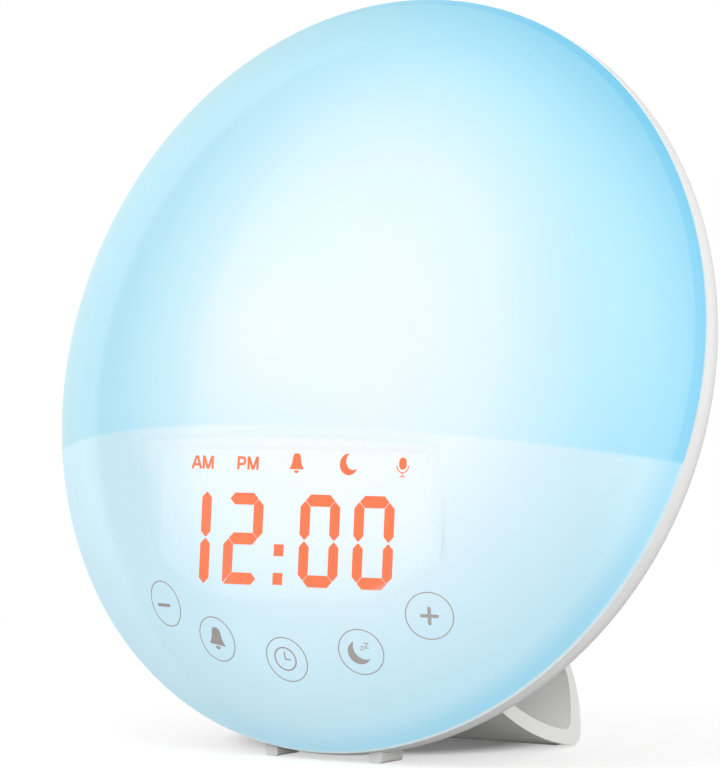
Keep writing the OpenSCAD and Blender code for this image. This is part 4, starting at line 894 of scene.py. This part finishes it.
class CLOCK_OT_rear_marks(bpy.types.Operator):
    """Print the generic pictograms on the two rear keys"""

    bl_idname = "clock.rear_marks"
    bl_label = "Key pictograms"

    def execute(self, context):
        rays = [stroke_plan([(r * math.cos(a), r * math.sin(a)) for r in (1.5, 2.3)], 0.4)
                for a in np.radians(np.arange(0, 360, 45))]
        sun = [closed(ring_plan(0.75, 0.5)), *rays]
        speaker = [spindle_plan([0, 0.8, 0.81, 2.0], [0.6, 0.6, 0.6, 1.6], 0.2, 0, -90),
                   stroke_plan(arc_points(1.1, 1.1, -50, 50, 1.9, 0), 0.35),
                   stroke_plan(arc_points(2.0, 2.0, -50, 50, 1.9, 0), 0.35)]
        speaker = [(x - 1.6, y) for x, y in speaker]
        for name, plans, side in (("lamp_key", sun, -1), ("sound_key", speaker, 1)):
            place = on_back(side * KEYS_OUT, KEYS_UP, KEYS_FACE)
            build(name + "_mark", plates(plans, place, -0.02, 0.04), [finish("key_ink")], name)
        return {"FINISHED"}


class CLOCK_OT_socket_contacts(bpy.types.Operator):
    """Fit the contact strips of the charging socket and the sleeve on the mains pin"""

    bl_idname = "clock.socket_contacts"
    bl_label = "Socket contacts"

    def execute(self, context):
        # Each strip lies on the tongue's broad face, which looks to the clock's right side.
        def on_tongue(middle):
            return lambda x, y, z: on_disc(TONGUE_FACE + z, middle + y + SOCKETS_UP,
                                           TONGUE_ROOT + x)
        strips = [plate(bar_plan(3.6, 1.0, 0.1, turn=90), on_tongue(middle), -0.02, 0.06)
                  for middle in (-3.6, -1.2, 1.2, 3.6)]
        build("usb_contacts", strips, [finish("gold_flash")], "clock")
        sleeve = ring_plan(1.02, 0.08, steps=32)
        place = on_back(PIN_OUT, SOCKETS_UP, PIN_FACE)
        build("mains_pin_sleeve", [plate(sleeve, place, 0.0, PIN_LENGTH, around=True)],
              [finish("nickel_plated_cup")], "clock")
        return {"FINISHED"}


class CLOCK_OT_mouldings(bpy.types.Operator):
    """Give the moulded and rubber parts their finishes"""

    bl_idname = "clock.mouldings"
    bl_label = "Mouldings"

    def execute(self, context):
        dress({
            "satin_abs": ["rear_housing", "stand", "battery_door", "speaker_grille"],
            "polished_abs": ["lamp_key", "sound_key"],
            "moulded_rubber": ["front_feet", "stand_pad"],
            "matt_black_moulding": ["lamp_plunger", "sound_plunger", "dc_jack"],
        })
        return {"FINISHED"}


class CLOCK_OT_lamp_and_display(bpy.types.Operator):
    """Give the lamp, the light walls and the display their finishes"""

    bl_idname = "clock.lamp_and_display"
    bl_label = "Lamp and display"

    def execute(self, context):
        dress({
            # The tray, the baffle and the display window get a painted glow for the lamp's light on
            # them.
            "lit_polystyrene": ["reflector_tray", "light_baffle"],
            "diffuser_film": ["display_window"],
            "segment_epoxy": ["digit_segments"],
            "matt_black_moulding": ["symbol_lights", "display_module"],
            "white_solder_mask": ["lamp_board"],
            "phosphor_package": ["lamp_leds"],
        })
        return {"FINISHED"}


class CLOCK_OT_works(bpy.types.Operator):
    """Give the boards, the speaker, the fasteners and the other works their finishes"""

    bl_idname = "clock.works"
    bl_label = "Works"

    def execute(self, context):
        dress({
            "green_laminate": ["display_board", "touch_board", "main_board", "key_board"],
            "chip_epoxy": ["board_chips"],
            "shrink_sleeve": ["board_capacitors"],
            "zinc_plated_steel": ["lamp_board_screws", "display_screws", "touch_board_screws",
                                  "main_board_screws", "speaker_screws", "key_board_screws",
                                  "door_screws", "stand_screws", "housing_screws"],
            "drawn_spring_steel": ["touch_springs"],
            "tin_plated_steel": ["speaker_frame", "key_switches", "microphone", "usb_port"],
            "nickel_plated_cup": ["coin_cell"],
            "phosphor_bronze": ["battery_contacts"],
            "pressed_ferrite": ["speaker_magnet"],
            "pulp_paper": ["speaker_cone"],
            "copper_winding": ["voice_coil"],
            "dark_rubber": ["speaker_surround", "microphone_boot"],
            "closed_cell_foam": ["speaker_gasket"],
            "red_pvc": ["speaker_leads"],
            "ribbon_film": ["display_ribbon", "lamp_ribbon", "touch_ribbon", "key_ribbon"],
        })
        return {"FINISHED"}


# The camera's turn about Z, tip down and roll in degrees, and its place in mm on its own axes from
# the disc's middle.
CAMERA_TURNS = (34.589, 0.651, -0.104)
CAMERA_AWAY = (-1.435, -3.310, 833.684)


class CLOCK_OT_studio(bpy.types.Operator):
    """Set the table, the soft lamps, the light tent that the gloss mirrors and the camera"""

    bl_idname = "clock.studio"
    bl_label = "Studio"

    def execute(self, context):
        studio = context.scene.clock_studio
        self.floor()
        self.tent(studio.panel_strength)
        self.world(studio.world_light)
        self.lamp("key_lamp", (-0.7, -1.3, 0.9), 1.0, studio.key_power)
        self.lamp("fill_lamp", (1.1, -0.9, 0.15), 1.0, studio.fill_power)
        self.camera(studio.lens)
        scene = context.scene
        scene.view_settings.view_transform = "Standard"
        return {"FINISHED"}

    @staticmethod
    def floor():
        """Pale table top: a square grid, 3 m wide. It is drawn white for the camera away from the
        clock and keeps the clock's shadow near it, with a darker contact shadow painted round the
        clock's foot."""
        # In metres: where the white starts and is full, the middle of the clock's foot, and the two
        # radii of the painted contact shadow round it: within the first it is darkest, beyond the
        # second the lift is full.
        white_from, white_full = 0.16, 0.42
        foot, painted_shadow_core, painted_shadow_edge = (-0.012, 0.024, 0.0), 0.026, 0.042
        side = np.linspace(-1500.0, 1500.0, 31)
        x, y = np.meshgrid(side, side, indexing="ij")
        material, tree = blank("pale_table")
        place = add(tree, "ShaderNodeTexCoord").outputs["Object"]
        away = add(tree, "ShaderNodeVectorMath", {0: place}, operation="LENGTH")
        far = add(tree, "ShaderNodeMapRange",
                  {"Value": away.outputs["Value"], "From Min": white_from,
                   "From Max": white_full}, interpolation_type="SMOOTHSTEP")
        path = add(tree, "ShaderNodeLightPath")
        seen = seen_rays(tree, path)
        white = add(tree, "ShaderNodeMath", {0: far.outputs["Result"], 1: seen.outputs["Value"]},
                    operation="MULTIPLY")
        fine = add(tree, "ShaderNodeTexNoise", {"Vector": place, "Scale": 400.0, "Detail": 2.0})
        bump = add(tree, "ShaderNodeBump", {"Height": fine.outputs["Fac"], "Distance": 0.00002})
        # A lift for the camera keeps the real shadow pale. Round the clock's foot the lift is
        # lowered, which paints a darker contact shadow where clock and table almost touch.
        under = add(tree, "ShaderNodeVectorMath", {0: place, 1: foot}, operation="DISTANCE")
        painted_shadow_lift = add(tree, "ShaderNodeMapRange",
                       {"Value": under.outputs["Value"], "From Min": painted_shadow_core,
                        "From Max": painted_shadow_edge, "To Min": 0.12, "To Max": 0.58},
                       interpolation_type="SMOOTHSTEP")
        lift = add(tree, "ShaderNodeMapRange",
                   {"Value": path.outputs["Is Diffuse Ray"],
                    "To Min": painted_shadow_lift.outputs["Result"], "To Max": 0.0})
        # A mid grey throws little light back up, so that undersides stay shaded.
        table = add(tree, "ShaderNodeBsdfPrincipled",
                    {"Base Color": (0.45, 0.45, 0.45, 1.0), "Roughness": 0.7,
                     "Specular IOR Level": 0.1, "Normal": bump.outputs["Normal"],
                     "Emission Color": (1.0, 1.0, 1.0, 1.0),
                     "Emission Strength": lift.outputs["Result"]})
        bare = add(tree, "ShaderNodeEmission", {"Color": (1.0, 1.0, 1.0, 1.0), "Strength": 1.0})
        mixed = add(tree, "ShaderNodeMixShader",
                    {0: white.outputs["Value"], 1: table.outputs["BSDF"],
                     2: bare.outputs["Emission"]})
        add(tree, "ShaderNodeOutputMaterial", {"Surface": mixed.outputs["Shader"]})
        top = plate((x, y), lambda a, b, h: np.stack([a, b, a * 0 + h], axis=-1) * MM, -8.0, -0.05)
        table = build("table", [top], [material], None)
        table.visible_glossy = False
        return table

    @staticmethod
    def tent(strength):
        """Light tent round the clock, seen by gloss alone: a sphere whose brightness is worked out
        by direction. Azimuth counts from the front to the right, and every step is a smoothstep.
        The back is evenly lit up to azimuth -95.5, less 0.28 of the height. A left panel rises at
        azimuth -58, less 0.0066 of the height above the horizon squared, and fades over -56 to
        -20. A right panel rises over 36 to 58 and falls over 64 to 105. Towards the top and towards
        the foot all go over to an even brightness."""
        azimuth = np.radians(np.linspace(-180, 180, 721))[:, None]
        height = np.radians(np.linspace(-89, 89, 90))[None, :]
        reach = 2200.0
        x, y = reach * np.sin(azimuth) * np.cos(height), -reach * np.cos(azimuth) * np.cos(height)
        z = 80.0 + reach * np.sin(height) + 0 * azimuth
        turn, tall = np.degrees(azimuth), np.degrees(height)

        def rise(value, start, end):
            share = np.clip((value - start) / (end - start), 0, 1)
            return share * share * (3 - 2 * share)
        back = 0.5 * (1 - rise(turn + 95.5 + 0.28 * tall, -1.5, 1.5) + rise(turn, 64, 105))
        left = 0.6 * (rise(turn + 58 + 0.0066 * np.maximum(tall, 0) ** 2, -3, 3)
                      * (1 - rise(turn, -56, -20)))
        right = strength * rise(turn, 36, 58) * (1 - rise(turn, 64, 105))
        over, under = rise(tall, 20, 90), rise(-tall, 5, 75)
        bright = (back + left + right) * (1 - over) * (1 - under) + 0.42 * over + 0.1 * under
        index = np.arange(bright.size).reshape(bright.shape)
        quads = quads_of(index)
        material, tree = blank("light_tent")
        share = add(tree, "ShaderNodeAttribute", attribute_name="bright")
        light = add(tree, "ShaderNodeEmission", {"Strength": share.outputs["Fac"]})
        add(tree, "ShaderNodeOutputMaterial", {"Surface": light.outputs["Emission"]})
        grid = np.stack([x, y, z], axis=-1) * MM
        piece = build("light_tent", [(grid.reshape(-1, 3), [quads.reshape(-1, 4)])], [material],
                      None)
        attribute = piece.data.attributes.new("bright", "FLOAT", "POINT")
        attribute.data.foreach_set("value", bright.astype(np.float32).ravel())
        for ray in ("camera", "diffuse", "shadow", "transmission", "volume_scatter"):
            setattr(piece, "visible_" + ray, False)
        return piece

    @staticmethod
    def world(strength):
        """White room: full white for the camera, for gloss and through glass, and the given
        strength as light."""
        world = bpy.data.worlds.new("white_room")
        world.use_nodes = True
        tree = world.node_tree
        tree.nodes.clear()
        path = add(tree, "ShaderNodeLightPath")
        seen = seen_rays(tree, path)
        # The light falls off towards the back of the room.
        way = add(tree, "ShaderNodeTexCoord").outputs["Generated"]
        toward = add(tree, "ShaderNodeVectorMath", {0: way, 1: (-0.25, 0.97, 0.0)},
                     operation="DOT_PRODUCT")
        fall = add(tree, "ShaderNodeMapRange",
                   {"Value": toward.outputs["Value"], "From Min": -1.0, "From Max": 1.0,
                    "To Min": 1.12 * strength, "To Max": 0.7 * strength})
        light = add(tree, "ShaderNodeBackground",
                    {"Color": (1.0, 1.0, 1.0, 1.0), "Strength": fall.outputs["Result"]})
        white = add(tree, "ShaderNodeBackground", {"Color": (1.0, 1.0, 1.0, 1.0), "Strength": 1.0})
        mixed = add(tree, "ShaderNodeMixShader",
                    {0: seen.outputs["Value"], 1: light.outputs["Background"],
                     2: white.outputs["Background"]})
        add(tree, "ShaderNodeOutputWorld", {"Surface": mixed.outputs["Shader"]})
        bpy.context.scene.world = world

    @staticmethod
    def lamp(name, place, side, power):
        """Square soft lamp that looks at the clock. Gloss doesn't see it: it sees the tent."""
        light = bpy.data.lights.new(name, "AREA")
        light.size, light.energy = side, power
        lamp = bpy.data.objects.new(name, light)
        lamp.location = place
        aim = np.array([0.0, 0.0, 0.08]) - np.array(place)
        lamp.rotation_euler = (math.atan2(math.hypot(aim[0], aim[1]), -aim[2]), 0.0,
                               math.atan2(aim[1], aim[0]) - math.pi / 2)
        lamp.visible_glossy = False
        bpy.context.scene.collection.objects.link(lamp)

    @staticmethod
    def camera(lens):
        """Camera half right of the front, level with the clock's middle: turned about Z, tipped
        down and rolled a hair, and set back along its own axis from the disc's middle."""
        azimuth, elevation, roll = (math.radians(a) for a in CAMERA_TURNS)
        data = bpy.data.cameras.new("camera")
        data.lens, data.sensor_width = lens, 36.0
        data.clip_start, data.clip_end = 0.05, 20.0
        turn = (Matrix.Rotation(azimuth, 4, "Z") @ Matrix.Rotation(math.pi / 2 - elevation, 4, "X")
                @ Matrix.Rotation(roll, 4, "Z"))
        size = sizes()
        middle = Vector((0.0, size.disc_back, size.disc_up))
        camera = bpy.data.objects.new("camera", data)
        camera.location = middle + turn @ Vector(CAMERA_AWAY) * MM
        camera.rotation_euler = turn.to_euler()
        bpy.context.scene.collection.objects.link(camera)
        bpy.context.scene.camera = camera


STEPS = (CLOCK_OT_mouldings, CLOCK_OT_lamp_and_display, CLOCK_OT_works, CLOCK_OT_dome,
         CLOCK_OT_touch_marks, CLOCK_OT_status_row, CLOCK_OT_rear_marks,
         CLOCK_OT_socket_contacts, CLOCK_OT_studio)


class CLOCK_PT_panel(bpy.types.Panel):
    """Sidebar panel with every step and the sizes, colours and light that it uses"""

    bl_idname = "CLOCK_PT_panel"
    bl_label = "Sunrise clock"
    bl_space_type = "VIEW_3D"
    bl_region_type = "UI"
    bl_category = "Sunrise clock"

    def draw(self, context):
        for step in STEPS:
            self.layout.operator(step.bl_idname)
        for name in GROUPS:
            box = self.layout.box()
            group = getattr(context.scene, name)
            for size_or_colour in group.__annotations__:
                box.prop(group, size_or_colour)


GROUPS = {"clock_sizes": ClockSizes, "clock_colours": ClockColours, "clock_studio": ClockStudio}


def register():
    """Makes the property groups, the operators and the panel known to Blender."""
    for cls in (*GROUPS.values(), *STEPS, CLOCK_PT_panel):
        bpy.utils.register_class(cls)
    for name, group in GROUPS.items():
        setattr(bpy.types.Scene, name, PointerProperty(type=group))


def unregister():
    """Takes them away again."""
    for name in GROUPS:
        delattr(bpy.types.Scene, name)
    for cls in (CLOCK_PT_panel, *reversed(STEPS), *GROUPS.values()):
        bpy.utils.unregister_class(cls)


def main():
    """Runs every step in order."""
    register()
    for step in STEPS:
        group, name = step.bl_idname.split(".")
        getattr(getattr(bpy.ops, group), name)()


if __name__ == "__main__":
    main()
